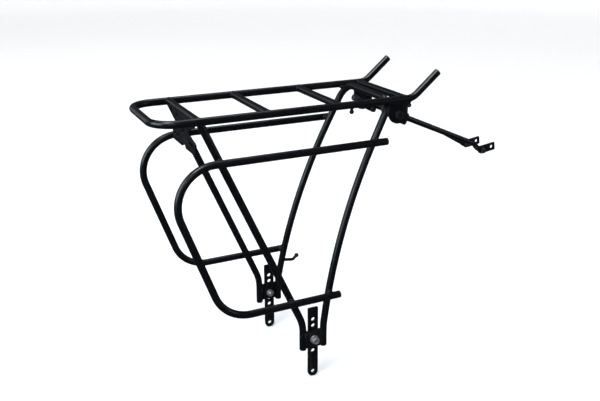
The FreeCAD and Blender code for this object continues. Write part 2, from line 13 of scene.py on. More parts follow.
import bmesh
import bpy
import numpy as np
from mathutils import Matrix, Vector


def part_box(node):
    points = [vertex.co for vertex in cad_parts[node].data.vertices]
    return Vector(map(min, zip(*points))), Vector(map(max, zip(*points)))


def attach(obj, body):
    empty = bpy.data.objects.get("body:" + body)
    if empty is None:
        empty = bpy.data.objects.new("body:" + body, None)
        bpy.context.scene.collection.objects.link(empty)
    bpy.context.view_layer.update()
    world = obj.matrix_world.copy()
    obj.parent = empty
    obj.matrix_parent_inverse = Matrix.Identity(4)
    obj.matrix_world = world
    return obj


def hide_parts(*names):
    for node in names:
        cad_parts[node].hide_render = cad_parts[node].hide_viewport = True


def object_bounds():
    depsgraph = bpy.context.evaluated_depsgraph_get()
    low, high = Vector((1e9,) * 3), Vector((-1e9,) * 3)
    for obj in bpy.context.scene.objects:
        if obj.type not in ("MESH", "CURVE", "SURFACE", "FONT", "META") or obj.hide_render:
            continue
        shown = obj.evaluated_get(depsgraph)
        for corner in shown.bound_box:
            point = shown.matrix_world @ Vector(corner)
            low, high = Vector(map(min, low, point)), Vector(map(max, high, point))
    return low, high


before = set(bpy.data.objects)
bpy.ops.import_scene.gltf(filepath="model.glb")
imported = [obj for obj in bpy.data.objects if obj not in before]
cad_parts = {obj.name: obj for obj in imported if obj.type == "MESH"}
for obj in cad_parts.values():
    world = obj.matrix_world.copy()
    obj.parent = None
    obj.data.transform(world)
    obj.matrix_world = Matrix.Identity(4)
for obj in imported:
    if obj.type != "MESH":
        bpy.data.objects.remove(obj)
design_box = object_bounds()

log = logging.getLogger("rear_rack")

MM = 0.001
AROUND = 64              # points round a full bar
RACK = "rack"
PLUG_STEM = 6.0          # how far an end plug reaches into its tube
TUBE_RADIUS = 5.0        # of the deck tube, whose box ends this far past its centreline


class Slot(Enum):
    """The record's material slots."""

    PAINT = "black_paint"
    PLUG = "end_plug"
    ZINC = "zinc_fastener"
    BLACK = "black_fastener"


class Side(Enum):
    """The two sides of the rack, with the sign of Y on each."""

    LEFT = 1
    RIGHT = -1

    @property
    def word(self) -> str:
        """The side's name as the nodes spell it."""
        return self.name.lower()


# ---- vectors -------------------------------------------------------------------------------
def vec(x: float, y: float, z: float) -> np.ndarray:
    """A point or direction as an array."""
    return np.array([x, y, z], float)


def unit(v: np.ndarray) -> np.ndarray:
    """Vectors scaled to length one, along the last axis."""
    return v / np.linalg.norm(v, axis=-1, keepdims=True)


def node_low(node: str) -> np.ndarray:
    """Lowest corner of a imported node, in millimetres."""
    return np.array(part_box(node)[0]) / MM


def node_high(node: str) -> np.ndarray:
    """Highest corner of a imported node, in millimetres."""
    return np.array(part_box(node)[1]) / MM


def node_ends(node: str) -> tuple[np.ndarray, np.ndarray]:
    """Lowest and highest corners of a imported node, in millimetres."""
    return node_low(node), node_high(node)


def node_centre(node: str) -> np.ndarray:
    """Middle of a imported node's box, in millimetres."""
    return (node_low(node) + node_high(node)) / 2


# ---- skins ---------------------------------------------------------------------------------
@dataclass
class Skin:
    """A closed surface: points in millimetres, and faces as rows of point numbers."""

    points: np.ndarray
    quads: np.ndarray
    tris: np.ndarray

    @staticmethod
    def from_grid(grid: np.ndarray, looped: bool = False) -> "Skin":
        """Closes a grid of points into a skin.

        Columns always run round and meet. Rows either loop too, as on a ring, or end in a fan
        of triangles about the middle of the first and last row.

        Args:
            grid: Points, rows by columns by three.
            looped: Whether the last row joins the first.

        Returns:
            The skin, with its faces outwards.
        """
        rows, columns = grid.shape[:2]
        number = np.arange(rows * columns).reshape(rows, columns)
        if looped:
            number = np.vstack([number, number[:1]])
        beside = np.roll(number, -1, axis=1)
        quads = np.stack([number[:-1], beside[:-1], beside[1:], number[1:]], axis=-1).reshape(-1, 4)
        points = grid.reshape(-1, 3)
        tris = np.zeros((0, 3), int)
        if not looped:
            poles = np.array([grid[0].mean(0), grid[-1].mean(0)])
            first, last = len(points), len(points) + 1
            points = np.vstack([points, poles])
            start = np.stack([np.full(columns, first), beside[0], number[0]], axis=-1)
            end = np.stack([np.full(columns, last), number[-1], beside[-1]], axis=-1)
            tris = np.vstack([start, end])
        return Skin(points, quads, tris).outwards()

    def volume(self) -> float:
        """Signed volume, positive when the faces point outwards."""
        corners = np.vstack([self.quads[:, [0, 1, 2]], self.quads[:, [0, 2, 3]], self.tris])
        a, b, c = (self.points[corners[:, i]] for i in range(3))
        return float(np.einsum("ij,ij->i", a, np.cross(b, c)).sum() / 6)

    def outwards(self) -> "Skin":
        """The same skin with its faces pointing outwards."""
        if self.volume() >= 0:
            return self
        return Skin(self.points, self.quads[:, ::-1], self.tris[:, ::-1])

    def reflected(self) -> "Skin":
        """The skin on the other side of the rack."""
        return Skin(self.points * [1, -1, 1], self.quads[:, ::-1], self.tris[:, ::-1])

    def on(self, side: Side) -> "Skin":
        """The skin as it is on a side, for a skin worked out on the left."""
        return self if side is Side.LEFT else self.reflected()


def joined(skins: Sequence[Skin]) -> Skin:
    """Several skins as one, each keeping its own closed surface."""
    starts = np.cumsum([0] + [len(s.points) for s in skins[:-1]])
    return Skin(
        np.vstack([s.points for s in skins]),
        np.vstack([s.quads + start for s, start in zip(skins, starts)]),
        np.vstack([s.tris + start for s, start in zip(skins, starts)]),
    )


# ---- routes and sweeps ---------------------------------------------------------------------
@dataclass(frozen=True)
class Route:
    """A centreline: points along it, and a direction that it never runs in."""

    points: np.ndarray
    aside: np.ndarray

    @staticmethod
    def rounded(corners: Sequence[np.ndarray], radii: Sequence[float], aside: np.ndarray,
                turn: float = 3.0) -> "Route":
        """Straight runs through the corners, joined by tangent arcs at the inner ones.

        Args:
            corners: The points where the runs would cross.
            radii: Centreline radius at each inner corner.
            aside: A direction that no run or arc lies along.
            turn: Degrees of turn between points on an arc.

        Returns:
            The route.
        """
        stretches = [corners[0][None, :]]
        for before, corner, after, radius in zip(corners, corners[1:], corners[2:], radii):
            back, ahead = unit(before - corner), unit(after - corner)
            half = math.acos(float(np.clip(back @ ahead, -1, 1))) / 2
            bisector = unit(back + ahead)
            centre = corner + bisector * radius / math.sin(half)
            start = corner + back * radius / math.tan(half) - centre
            swing = math.pi - 2 * half
            count = max(4, int(math.degrees(swing) / turn)) + 1
            angle = np.linspace(0, swing, count)[:, None]
            quarter = unit(np.cross(np.cross(start, -back), start)) * radius
            stretches.append(centre + start * np.cos(angle) + quarter * np.sin(angle))
        stretches.append(corners[-1][None, :])
        return Route(np.vstack(stretches), aside)

    def tangents(self) -> np.ndarray:
        """Directions along the route, each the mean of the runs beside its point."""
        runs = unit(np.diff(self.points, axis=0))
        middle = unit(runs[:-1] + runs[1:])
        return np.vstack([runs[:1], middle, runs[-1:]])

    def axes(self) -> tuple[np.ndarray, np.ndarray]:
        """Two directions square to the route at every point."""
        along = self.tangents()
        first = unit(self.aside - along * (along @ self.aside)[:, None])
        return first, np.cross(along, first)

    def at_height(self, z: float) -> tuple[np.ndarray, np.ndarray]:
        """The point and direction where the route first crosses a height."""
        rise = self.points[:, 2] - z
        i = int(np.nonzero(rise[:-1] * rise[1:] <= 0)[0][0])
        share = rise[i] / (rise[i] - rise[i + 1])
        run = self.points[i + 1] - self.points[i]
        return self.points[i] + share * run, unit(run)


def swept(route: Route, wide: np.ndarray, deep: np.ndarray) -> Skin:
    """A section carried along a route.

    A point is the route's point, plus wide times the first axis, plus deep times the second.

    Args:
        route: The centreline.
        wide: Offsets along the first axis, one row for each point of the route.
        deep: Offsets along the second axis, of the same shape.

    Returns:
        The closed skin.
    """
    first, second = route.axes()
    grid = (route.points[:, None, :] + wide[..., None] * first[:, None, :]
            + deep[..., None] * second[:, None, :])
    return Skin.from_grid(grid)


def round_bar(route: Route, radius: float, around: int = AROUND) -> Skin:
    """A round section of one radius along a route."""
    angle = np.linspace(0, 2 * np.pi, around, endpoint=False)
    rows = np.ones((len(route.points), 1))
    return swept(route, rows * radius * np.cos(angle), rows * radius * np.sin(angle))


def turned(base: np.ndarray, axis: np.ndarray, profile: np.ndarray, ring: bool = False,
           columns: int = 72, shape: Callable[[np.ndarray, np.ndarray], np.ndarray] | None = None
           ) -> Skin:
    """A profile turned about an axis.

    A point is the base, plus height along the axis, plus radius times the turning direction.

    Args:
        base: Where height is nought.
        axis: The direction of height.
        profile: Rows of height and radius.
        ring: Whether the profile is a closed loop, as on a washer.
        columns: Points round the axis.
        shape: Changes the grid of radii, given the radii and the angles.

    Returns:
        The closed skin.
    """
    axis = unit(axis)
    first = unit(np.cross(axis, vec(0.3, 0.2, 1.0) if abs(axis[2]) < 0.9 else vec(1, 0, 0)))
    second = np.cross(axis, first)
    angle = np.linspace(0, 2 * np.pi, columns, endpoint=False)
    radii = np.repeat(profile[:, 1:2], columns, axis=1)
    if shape is not None:
        radii = shape(radii, angle[None, :])
    outward = np.cos(angle)[:, None] * first + np.sin(angle)[:, None] * second
    grid = base + profile[:, 0][:, None, None] * axis + radii[..., None] * outward[None]
    return Skin.from_grid(grid, looped=ring)


def arc_rows(height: float, radius: float, bend: float, start: float, end: float,
             count: int = 6) -> np.ndarray:
    """Profile rows round a quarter or other arc, for a turned edge.

    Args:
        height: Height of the arc's centre.
        radius: Radius, from the turning axis, of the arc's centre.
        bend: The arc's own radius.
        start: First angle in degrees; nought points away from the axis and 90 up it.
        end: Last angle.
        count: Rows.

    Returns:
        Rows of height and radius.
    """
    t = np.radians(np.linspace(start, end, count))
    return np.stack([height + bend * np.sin(t), radius + bend * np.cos(t)], axis=1)


def hex_radius(flats: float, angle: np.ndarray) -> np.ndarray:
    """Distance from the axis to a hexagon's side at each angle."""
    sixth = np.pi / 3
    return flats / 2 / np.cos((angle + sixth / 2) % sixth - sixth / 2)


# ---- welds ---------------------------------------------------------------------------------
@dataclass(frozen=True)
class Bead:
    """A weld bead: a low round section whose size ripples along its length."""

    radius: float = 1.0
    sunk: float = 0.6
    ripple: float = 0.10
    pitch: float = 1.2
    unevenness: float = 0.07
    around: int = 14

    def along(self, path: np.ndarray, closed: bool, seed: int) -> Skin:
        """Lays the bead along a path.

        The section's radius is the bead's, times one plus a ripple of steady pitch and a slow
        random swell, and it closes down to a point at both ends of an open path. A bead that
        runs all round a bar is drawn in towards the bar by a share of its radius.

        Args:
            path: Points along the seam.
            closed: Whether the seam runs round to its start.
            seed: Number for the random swell.

        Returns:
            The closed skin.
        """
        points = np.vstack([path, path[:1]]) if closed else path
        steps = np.linalg.norm(np.diff(points, axis=0), axis=1)
        length = np.concatenate([[0], np.cumsum(steps)])
        count = max(24, int(length[-1] / self.pitch * 7))
        place = np.linspace(0, length[-1], count, endpoint=not closed)
        line = np.stack([np.interp(place, length, points[:, i]) for i in range(3)], axis=1)
        if closed:
            for _ in range(3):
                line = (np.roll(line, 1, axis=0) + 2 * line + np.roll(line, -1, axis=0)) / 4
            along = unit(np.roll(line, -1, axis=0) - np.roll(line, 1, axis=0))
        else:
            along = unit(np.gradient(line, axis=0))
        middle = line.mean(0)
        out = line - middle if closed else np.tile(vec(0.31, 0.52, 0.8), (count, 1))
        out = unit(out - along * np.einsum("ij,ij->i", out, along)[:, None])
        across = np.cross(along, out)
        if closed:
            line = line - out * self.sunk * self.radius
        beats = max(1, round(length[-1] / self.pitch))
        wave = np.cos(2 * np.pi * beats * place / length[-1])
        chance = np.random.default_rng(seed)
        knots = chance.normal(size=9)
        knots[-1] = knots[0]
        swell = np.interp(place / length[-1] * 8, np.arange(9), knots)
        size = self.radius * (1 + self.ripple * wave + self.unevenness * swell)
        if not closed:
            run = np.minimum(place, length[-1] - place) / self.radius
            size = size * np.sqrt(np.clip(1 - (1 - np.clip(run, 0, 1)) ** 2, 0.0009, 1))
        angle = np.linspace(0, 2 * np.pi, self.around, endpoint=False)
        grid = (line[:, None, :] + size[:, None, None]
                * (np.cos(angle)[None, :, None] * out[:, None, :]
                   + np.sin(angle)[None, :, None] * across[:, None, :]))
        return Skin.from_grid(grid, looped=closed)


def seam_round(branch: np.ndarray, branch_way: np.ndarray, branch_radius: float,
               main: np.ndarray, main_way: np.ndarray, main_radius: float,
               count: int = 96) -> np.ndarray:
    """The line where one round bar meets the side of another.

    Each point starts on the branch's surface and slides along the branch until its distance
    from the main bar's axis is the main bar's radius, the first crossing on the branch's way.

    Args:
        branch: A point on the branch's axis, outside the main bar.
        branch_way: Direction along the branch, towards the main bar.
        branch_radius: Radius of the branch.
        main: A point on the main bar's axis.
        main_way: Direction of the main bar.
        main_radius: Radius of the main bar.
        count: Points round the seam.

    Returns:
        Points round the seam.
    """
    branch_way, main_way = unit(branch_way), unit(main_way)
    first = unit(np.cross(branch_way, main_way))
    second = np.cross(branch_way, first)
    angle = np.linspace(0, 2 * np.pi, count, endpoint=False)[:, None]
    start = branch + branch_radius * (np.cos(angle) * first + np.sin(angle) * second)

    def square_part(v: np.ndarray) -> np.ndarray:
        """What is left of vectors square to the main bar."""
        return v - (v @ main_way)[..., None] * main_way

    offset, way = square_part(start - main), square_part(branch_way)
    a = way @ way
    b = 2 * offset @ way
    c = np.einsum("ij,ij->i", offset, offset) - main_radius ** 2
    slide = (-b - np.sqrt(np.clip(b * b - 4 * a * c, 0, None))) / (2 * a)
    return start + slide[:, None] * branch_way


# ---- finishes ------------------------------------------------------------------------------
@dataclass(frozen=True)
class Grain:
    """A noise pattern, with the depth in metres and the strength of any relief it gives."""

    scale: float
    detail: float = 2.0
    rough: float = 0.5
    depth: float = 0.0
    strength: float = 0.0
    stretch: tuple[float, float, float] | None = None


MIDDLE = (0.3, 0.7)      # the part of a noise's range that moves a finish's gloss


class NodeBench:
    """A material's node tree, with short ways to add and join nodes."""

    def __init__(self, name: str) -> None:
        """Starts a material that holds only its shader and its output."""
        self.material = bpy.data.materials.new(name)
        self.material.use_nodes = True
        self.tree = self.material.node_tree
        self.shader = next(n for n in self.tree.nodes if n.type == "BSDF_PRINCIPLED")
        self.place = self.add("ShaderNodeTexCoord").outputs["Object"]

    def add(self, kind: str, **settings: object) -> bpy.types.Node:
        """Adds a node and sets its own properties."""
        node = self.tree.nodes.new(kind)
        for key, value in settings.items():
            setattr(node, key, value)
        return node

    def join(self, output: bpy.types.NodeSocket, target: bpy.types.NodeSocket) -> None:
        """Joins an output to an input."""
        self.tree.links.new(output, target)

    def noise(self, grain: Grain) -> bpy.types.NodeSocket:
        """Noise on object coordinates, as a value from nought to one.

        Args:
            grain: The pattern's size, detail and stretch.

        Returns:
            The value's output.
        """
        node = self.add("ShaderNodeTexNoise")
        node.inputs["Scale"].default_value = grain.scale
        node.inputs["Detail"].default_value = grain.detail
        node.inputs["Roughness"].default_value = grain.rough
        place = self.place
        if grain.stretch is not None:
            mapping = self.add("ShaderNodeMapping")
            mapping.inputs["Scale"].default_value = grain.stretch
            self.join(place, mapping.inputs["Vector"])
            place = mapping.outputs["Vector"]
        self.join(place, node.inputs["Vector"])
        return node.outputs["Fac"]

    def spread(self, value: bpy.types.NodeSocket, low: float, high: float,
               to_low: float, to_high: float) -> bpy.types.NodeSocket:
        """Carries a range of values to another, smoothly.

        Args:
            value: The output to carry.
            low: Value that becomes to_low.
            high: Value that becomes to_high.
            to_low: Result at the low end.
            to_high: Result at the high end.

        Returns:
            The result's output.
        """
        node = self.add("ShaderNodeMapRange", interpolation_type="SMOOTHSTEP")
        for key, number in zip(("From Min", "From Max", "To Min", "To Max"),
                               (low, high, to_low, to_high)):
            node.inputs[key].default_value = number
        self.join(value, node.inputs["Value"])
        return node.outputs["Result"]

    def blend(self, share: bpy.types.NodeSocket, first: object, second: object
              ) -> bpy.types.NodeSocket:
        """Mixes two colours, each a colour or an output."""
        node = self.add("ShaderNodeMix", data_type="RGBA")
        self.join(share, node.inputs["Factor"])
        sockets = [s for s in node.inputs if s.type == "RGBA"]
        for socket, colour in zip(sockets, (first, second)):
            if isinstance(colour, bpy.types.NodeSocket):
                self.join(colour, socket)
            else:
                socket.default_value = (*colour, 1.0)
        return next(s for s in node.outputs if s.type == "RGBA")

    def relief(self, grain: Grain, under: bpy.types.NodeSocket | None = None
               ) -> bpy.types.NodeSocket:
        """A bump that follows a grain, over another bump if there is one.

        Args:
            grain: The pattern, with its depth in metres and its strength.
            under: The bump below it.

        Returns:
            The normal's output.
        """
        height = self.noise(grain)
        node = self.add("ShaderNodeBump")
        node.inputs["Distance"].default_value = grain.depth
        node.inputs["Strength"].default_value = grain.strength
        self.join(height, node.inputs["Height"])
        if under is not None:
            self.join(under, node.inputs["Normal"])
        return node.outputs["Normal"]


@dataclass(frozen=True)
class PowderCoat:
    """Satin black powder coat: orange peel, slow gloss changes, and rub on worked edges."""

    name: str = "satin_black_powder_coat"
    slot: Slot = Slot.PAINT
    dark: tuple[float, float, float] = (0.0007, 0.0009, 0.0018)
    light: tuple[float, float, float] = (0.0020, 0.0025, 0.0040)
    rub: tuple[float, float, float] = (0.016, 0.0165, 0.018)
    smooth: float = 0.22
    rough: float = 0.34
    specular: float = 0.36
    edge_rub: float = 0.0
    worn_edge: tuple[float, float] = (0.53, 0.62)
    broken: tuple[float, float] = (0.42, 0.6)
    cloud: Grain = Grain(38, 4, 0.6)
    gloss: Grain = Grain(22, 3)
    wear: Grain = Grain(310, 4)
    peel: Grain = Grain(620, 2, 0.4, depth=0.00016, strength=0.22)
    grit: Grain = Grain(2600, 1, 0.4, depth=0.00003, strength=0.16)

    def material(self) -> bpy.types.Material:
        """Builds the finish."""
        bench = NodeBench(self.name)
        shader = bench.shader
        colour = bench.blend(bench.noise(self.cloud), self.dark, self.light)
        gloss = bench.spread(bench.noise(self.gloss), *MIDDLE, self.smooth, self.rough)
        if self.edge_rub > 0:
            edge = bench.add("ShaderNodeNewGeometry").outputs["Pointiness"]
            bright = bench.spread(edge, *self.worn_edge, 0.0, self.edge_rub)
            share = bench.add("ShaderNodeMath", operation="MULTIPLY")
            bench.join(bright, share.inputs[0])
            bench.join(bench.spread(bench.noise(self.wear), *self.broken, 0, 1),
                       share.inputs[1])
            colour = bench.blend(share.outputs[0], colour, self.rub)
        bench.join(colour, shader.inputs["Base Color"])
        bench.join(gloss, shader.inputs["Roughness"])
        bench.join(bench.relief(self.grit, bench.relief(self.peel)), shader.inputs["Normal"])
        shader.inputs["Specular IOR Level"].default_value = self.specular
        return bench.material


@dataclass(frozen=True)
class CloudyFinish:
    """A finish of two colours in clouds, with a cloudy gloss and a fine relief."""

    name: str
    slot: Slot
    first: tuple[float, float, float]
    second: tuple[float, float, float]
    smooth: float
    rough: float
    metallic: float
    cloud: Grain
    gloss: Grain
    relief: Grain

    def material(self) -> bpy.types.Material:
        """Builds the finish."""
        bench = NodeBench(self.name)
        shader = bench.shader
        bench.join(bench.blend(bench.noise(self.cloud), self.first, self.second),
                   shader.inputs["Base Color"])
        bench.join(bench.spread(bench.noise(self.gloss), *MIDDLE, self.smooth, self.rough),
                   shader.inputs["Roughness"])
        bench.join(bench.relief(self.relief), shader.inputs["Normal"])
        shader.inputs["Metallic"].default_value = self.metallic
        return bench.material


Finish = PowderCoat | CloudyFinish
TUBE_PAINT = PowderCoat()
PLATE_PAINT = PowderCoat(name="satin_black_powder_coat_on_plate", edge_rub=0.55, rough=0.43)
# Bright zinc on steel: a bluish metal with turning marks.
ZINC = CloudyFinish("bright_zinc", Slot.ZINC, (0.60, 0.61, 0.63), (0.36, 0.39, 0.43),
                    smooth=0.28, rough=0.46, metallic=0.9, cloud=Grain(170, 3),
                    gloss=Grain(420, 3),
                    relief=Grain(900, 2, 0.5, 0.00004, 0.25, stretch=(1, 6, 1)))
# Black oxide on steel fasteners: dark, a little metallic, oily in patches.
BLACK = CloudyFinish("black_oxide_steel", Slot.BLACK, (0.014, 0.014, 0.016),
                     (0.040, 0.040, 0.043), smooth=0.26, rough=0.44, metallic=0.55,
                     cloud=Grain(260, 3), gloss=Grain(330, 3),
                     relief=Grain(1500, depth=0.00003, strength=0.2))
# Matt black moulded plastic with a fine spark-eroded grain.
PLASTIC = CloudyFinish("matt_black_plastic", Slot.PLUG, (0.010, 0.010, 0.011),
                       (0.017, 0.017, 0.018), smooth=0.46, rough=0.60, metallic=0.0,
                       cloud=Grain(190, 3), gloss=Grain(120),
                       relief=Grain(3200, depth=0.00005, strength=0.3))


# ---- making pieces -------------------------------------------------------------------------
class Workshop:
    """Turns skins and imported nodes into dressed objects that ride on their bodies."""

    weld_distance = 2e-6
    flat_angle = math.radians(0.5)
    edge_angle = math.radians(35)

    def __init__(self) -> None:
        """Starts with no finish mixed and no piece made."""
        self.materials: dict[str, bpy.types.Material] = {}
        self.made: list[str] = []

    def dress(self, obj: bpy.types.Object, finish: Finish) -> None:
        """Gives an object one finish."""
        if finish.name not in self.materials:
            self.materials[finish.name] = finish.material()
        obj.data.materials.clear()
        obj.data.materials.append(self.materials[finish.name])

    def settle(self, obj: bpy.types.Object, finish: Finish, body: str,
               nodes: Sequence[str]) -> bpy.types.Object:
        """Dresses a new object, rides it on its body and hides the nodes it stands for."""
        self.dress(obj, finish)
        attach(obj, body)
        if nodes:
            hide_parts(*nodes)
        self.made.append(obj.name)
        log.info("%s: %d faces, on %s", obj.name, len(obj.data.polygons), body)
        return obj

    def piece(self, name: str, skin: Skin, finish: Finish, body: str = RACK,
              nodes: Sequence[str] = (), crease: float = 38.0) -> bpy.types.Object:
        """Makes an object from a skin.

        Args:
            name: The piece's name.
            skin: Its surface, in millimetres.
            finish: Its finish.
            body: The body that it rides on.
            nodes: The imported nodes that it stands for.
            crease: Angle in degrees past which an edge is sharp.

        Returns:
            The object.
        """
        mesh = bpy.data.meshes.new(name)
        faces = skin.quads.tolist() + skin.tris.tolist()
        mesh.from_pydata((skin.points * MM).tolist(), [], faces)
        mesh.shade_smooth()
        mesh.set_sharp_from_angle(angle=math.radians(crease))
        obj = bpy.data.objects.new(name, mesh)
        bpy.context.scene.collection.objects.link(obj)
        return self.settle(obj, finish, body, nodes)

    def softened(self, node: str, finish: Finish, body: str, edge: float = 0.35,
                 steps: int = 3) -> bpy.types.Object:
        """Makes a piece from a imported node's shape, with its sharp edges rounded.

        The copy's loose triangles are merged, its flat faces are made whole, and a bevel of
        constant width runs along every edge sharper than 35 degrees.

        Args:
            node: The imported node.
            finish: Its finish.
            body: The body that it rides on.
            edge: Width of the rounding, in millimetres.
            steps: Faces across the rounding.

        Returns:
            The object.
        """
        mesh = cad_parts[node].data.copy()
        mesh.name = f"{node}_eased"
        work = bmesh.new()
        work.from_mesh(mesh)
        bmesh.ops.remove_doubles(work, verts=work.verts, dist=self.weld_distance)
        bmesh.ops.dissolve_limit(work, angle_limit=self.flat_angle, verts=work.verts,
                                 edges=work.edges)
        work.to_mesh(mesh)
        work.free()
        mesh.shade_smooth()
        obj = bpy.data.objects.new(mesh.name, mesh)
        bpy.context.scene.collection.objects.link(obj)
        bevel = obj.modifiers.new("eased_edges", "BEVEL")
        bevel.width = edge * MM
        bevel.segments = steps
        bevel.limit_method = "ANGLE"
        bevel.angle_limit = self.edge_angle
        bevel.harden_normals = True
        return self.settle(obj, finish, body, [node])


# ---- sizes of the frame --------------------------------------------------------------------
@dataclass(frozen=True)
class RackSizes:
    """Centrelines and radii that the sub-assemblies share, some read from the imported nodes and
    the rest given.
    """

    tube: float = float(node_high("crossbar_third")[2] - node_centre("crossbar_third")[2])
    deck_z: float = float(node_centre("crossbar_third")[2])
    rail_y: float = float(node_high("crossbar_third")[1])
    tail_x: float = float(node_low("platform_tube")[0] + TUBE_RADIUS)
    tail_corner_radius: float = 30.0
    horn_bend_x: float = 158.0
    horn_bend_radius: float = 25.0
    horn_angle: float = 40.0
    horn_length: float = 50.0
    leg_top_inset: float = 1.8
    foot_y: float = float(node_centre("leg_plugs_left")[1])
    foot_half_length: float = 16.0
    leg_bottom_z: float = float(node_high("leg_plugs_left")[2] - PLUG_STEM)
    rear_leg_top_x: float = -146.5
    rear_leg_top_drop: float = 1.0
    rear_leg_corner_z: float = 80.0
    rear_leg_corner_radius: float = 60.0
    front_leg_corner_z: float = 71.0
    front_leg_corner_radius: float = 100.0
    front_leg_knee: tuple[float, float] = (39.4, 210.7)
    front_leg_knee_radius: float = 857.4
    hoop_top_x: float = 124.0
    hoop_corner_radius: float = 24.0

    def horn_rise(self) -> np.ndarray:
        """Direction of an upturned horn."""
        angle = math.radians(self.horn_angle)
        return vec(math.cos(angle), 0, math.sin(angle))

    def horn_end(self) -> np.ndarray:
        """Open end of the left horn."""
        bend = vec(self.horn_bend_x, self.rail_y, self.deck_z)
        return bend + self.horn_rise() * self.horn_length

    def deck_route(self) -> Route:
        """The deck tube, from the left horn round the tail to the right horn."""
        left = [self.horn_end(), vec(self.horn_bend_x, self.rail_y, self.deck_z),
                vec(self.tail_x, self.rail_y, self.deck_z)]
        corners = left + [p * [1, -1, 1] for p in reversed(left)]
        radii = [self.horn_bend_radius, self.tail_corner_radius]
        return Route.rounded(corners, radii + radii[::-1], vec(0, 0, 1))

    def rear_leg_route(self) -> Route:
        """The left rear leg, from the deck down."""
        corners = [vec(self.rear_leg_top_x, self.rail_y - self.leg_top_inset,
                       self.deck_z - self.rear_leg_top_drop),
                   vec(-self.foot_half_length, self.foot_y, self.rear_leg_corner_z),
                   vec(-self.foot_half_length, self.foot_y, self.leg_bottom_z)]
        return Route.rounded(corners, [self.rear_leg_corner_radius], vec(0, 1, 0))

    def hoop_route(self) -> Route:
        """The front leg hoop, from the left foot over to the right foot."""
        knee_x, knee_z = self.front_leg_knee
        top_y = self.rail_y - self.leg_top_inset
        share = (knee_z - self.front_leg_corner_z) / (self.deck_z - self.front_leg_corner_z)
        left = [vec(self.foot_half_length, self.foot_y, self.leg_bottom_z),
                vec(self.foot_half_length, self.foot_y, self.front_leg_corner_z),
                vec(knee_x, self.foot_y + (top_y - self.foot_y) * share, knee_z),
                vec(self.hoop_top_x, top_y, self.deck_z)]
        corners = left + [p * [1, -1, 1] for p in reversed(left)]
        radii = [self.front_leg_corner_radius, self.front_leg_knee_radius,
                 self.hoop_corner_radius]
        return Route.rounded(corners, radii + radii[::-1], vec(1, 0, 0), turn=1.5)


def end_plug(end: np.ndarray, outward: np.ndarray, radius: float, head: float = 2.0) -> Skin:
    """A tube end plug: a stem, a shadow groove at the tube's mouth and a domed head.

    Args:
        end: Middle of the tube's mouth.
        outward: Direction out of the tube.
        radius: The tube's radius.
        head: Height of the head.

    Returns:
        The closed skin.
    """
    stem, groove, lip, dome = radius - 1.3, radius - 0.28, 0.2, 1.1
    rows = np.vstack([
        [[-PLUG_STEM, stem], [-0.35, stem], [-0.3, groove], [0.05, groove]],
        arc_rows(0.3, radius - lip, lip, -90, 0, 4),
        arc_rows(head - 1.3, radius - dome, dome, 0, 78, 7),
        [[head - 0.12, radius * 0.45], [head - 0.04, radius * 0.2]],
    ])
    return turned(end, outward, rows)


# ---- sub-assemblies ------------------------------------------------------------------------
@dataclass
class Deck:
    """The deck tube, its crossbars, horn plugs and strap studs."""

    sizes: RackSizes
    bead: Bead = field(default_factory=Bead)
    places: tuple[str, ...] = ("tail", "second", "third", "front")
    stud_stem: float = 2.0
    stud_ball: float = 3.0
    crossbar_inset: float = 1.0

    def crossbar(self, place: str) -> Skin:
        """One crossbar, run a little way into both rails."""
        x = float(node_centre(f"crossbar_{place}")[0])
        half = self.sizes.rail_y - self.crossbar_inset
        ends = [vec(x, half, self.sizes.deck_z), vec(x, -half, self.sizes.deck_z)]
        return round_bar(Route(np.array(ends), vec(0, 0, 1)), self.sizes.tube)

    def welds(self) -> Skin:
        """The beads where crossbars meet the rails."""
        s = self.sizes
        skins = []
        for number, place in enumerate(self.places):
            x = float(node_centre(f"crossbar_{place}")[0])
            seam = seam_round(vec(x, 0, s.deck_z), vec(0, 1, 0), s.tube,
                              vec(x, s.rail_y, s.deck_z), vec(1, 0, 0), s.tube)
            for side in Side:
                skins.append(self.bead.along(seam, True, 10 * number + side.value + 1).on(side))
        return joined(skins)

    def studs(self) -> Skin:
        """The ball-ended studs under the left rail, each with a flared root."""
        s = self.sizes
        low, high = node_ends("strap_studs_left")
        ball_z = low[2] + self.stud_ball
        rail = s.deck_z - s.tube - ball_z
        rows = np.vstack([
            arc_rows(0, 0, self.stud_ball, -85, 48, 14),
            [[self.stud_ball + 0.4, self.stud_stem], [rail - 0.6, self.stud_stem],
             [rail + 0.1, self.stud_stem + 0.9], [rail + 1.6, self.stud_stem + 1.2]],
        ])
        ends = (low[0] + self.stud_ball, high[0] - self.stud_ball)
        return joined([turned(vec(x, s.rail_y, ball_z), vec(0, 0, 1), rows) for x in ends])

    def build(self, shop: Workshop) -> None:
        """Makes and dresses the deck."""
        s = self.sizes
        shop.piece("deck_tube", round_bar(s.deck_route(), s.tube), TUBE_PAINT,
                   nodes=["platform_tube"])
        for place in self.places:
            shop.piece(f"deck_crossbar_{place}", self.crossbar(place), TUBE_PAINT,
                       nodes=[f"crossbar_{place}"])
        shop.piece("deck_welds", self.welds(), TUBE_PAINT)
        plug = end_plug(s.horn_end(), s.horn_rise(), s.tube)
        for side in Side:
            shop.piece(f"horn_plug_{side.word}", plug.on(side), PLASTIC,
                       nodes=[f"platform_plug_{side.word}"])
            shop.piece(f"strap_stud_pair_{side.word}", self.studs().on(side), TUBE_PAINT,
                       nodes=[f"strap_studs_{side.word}"])


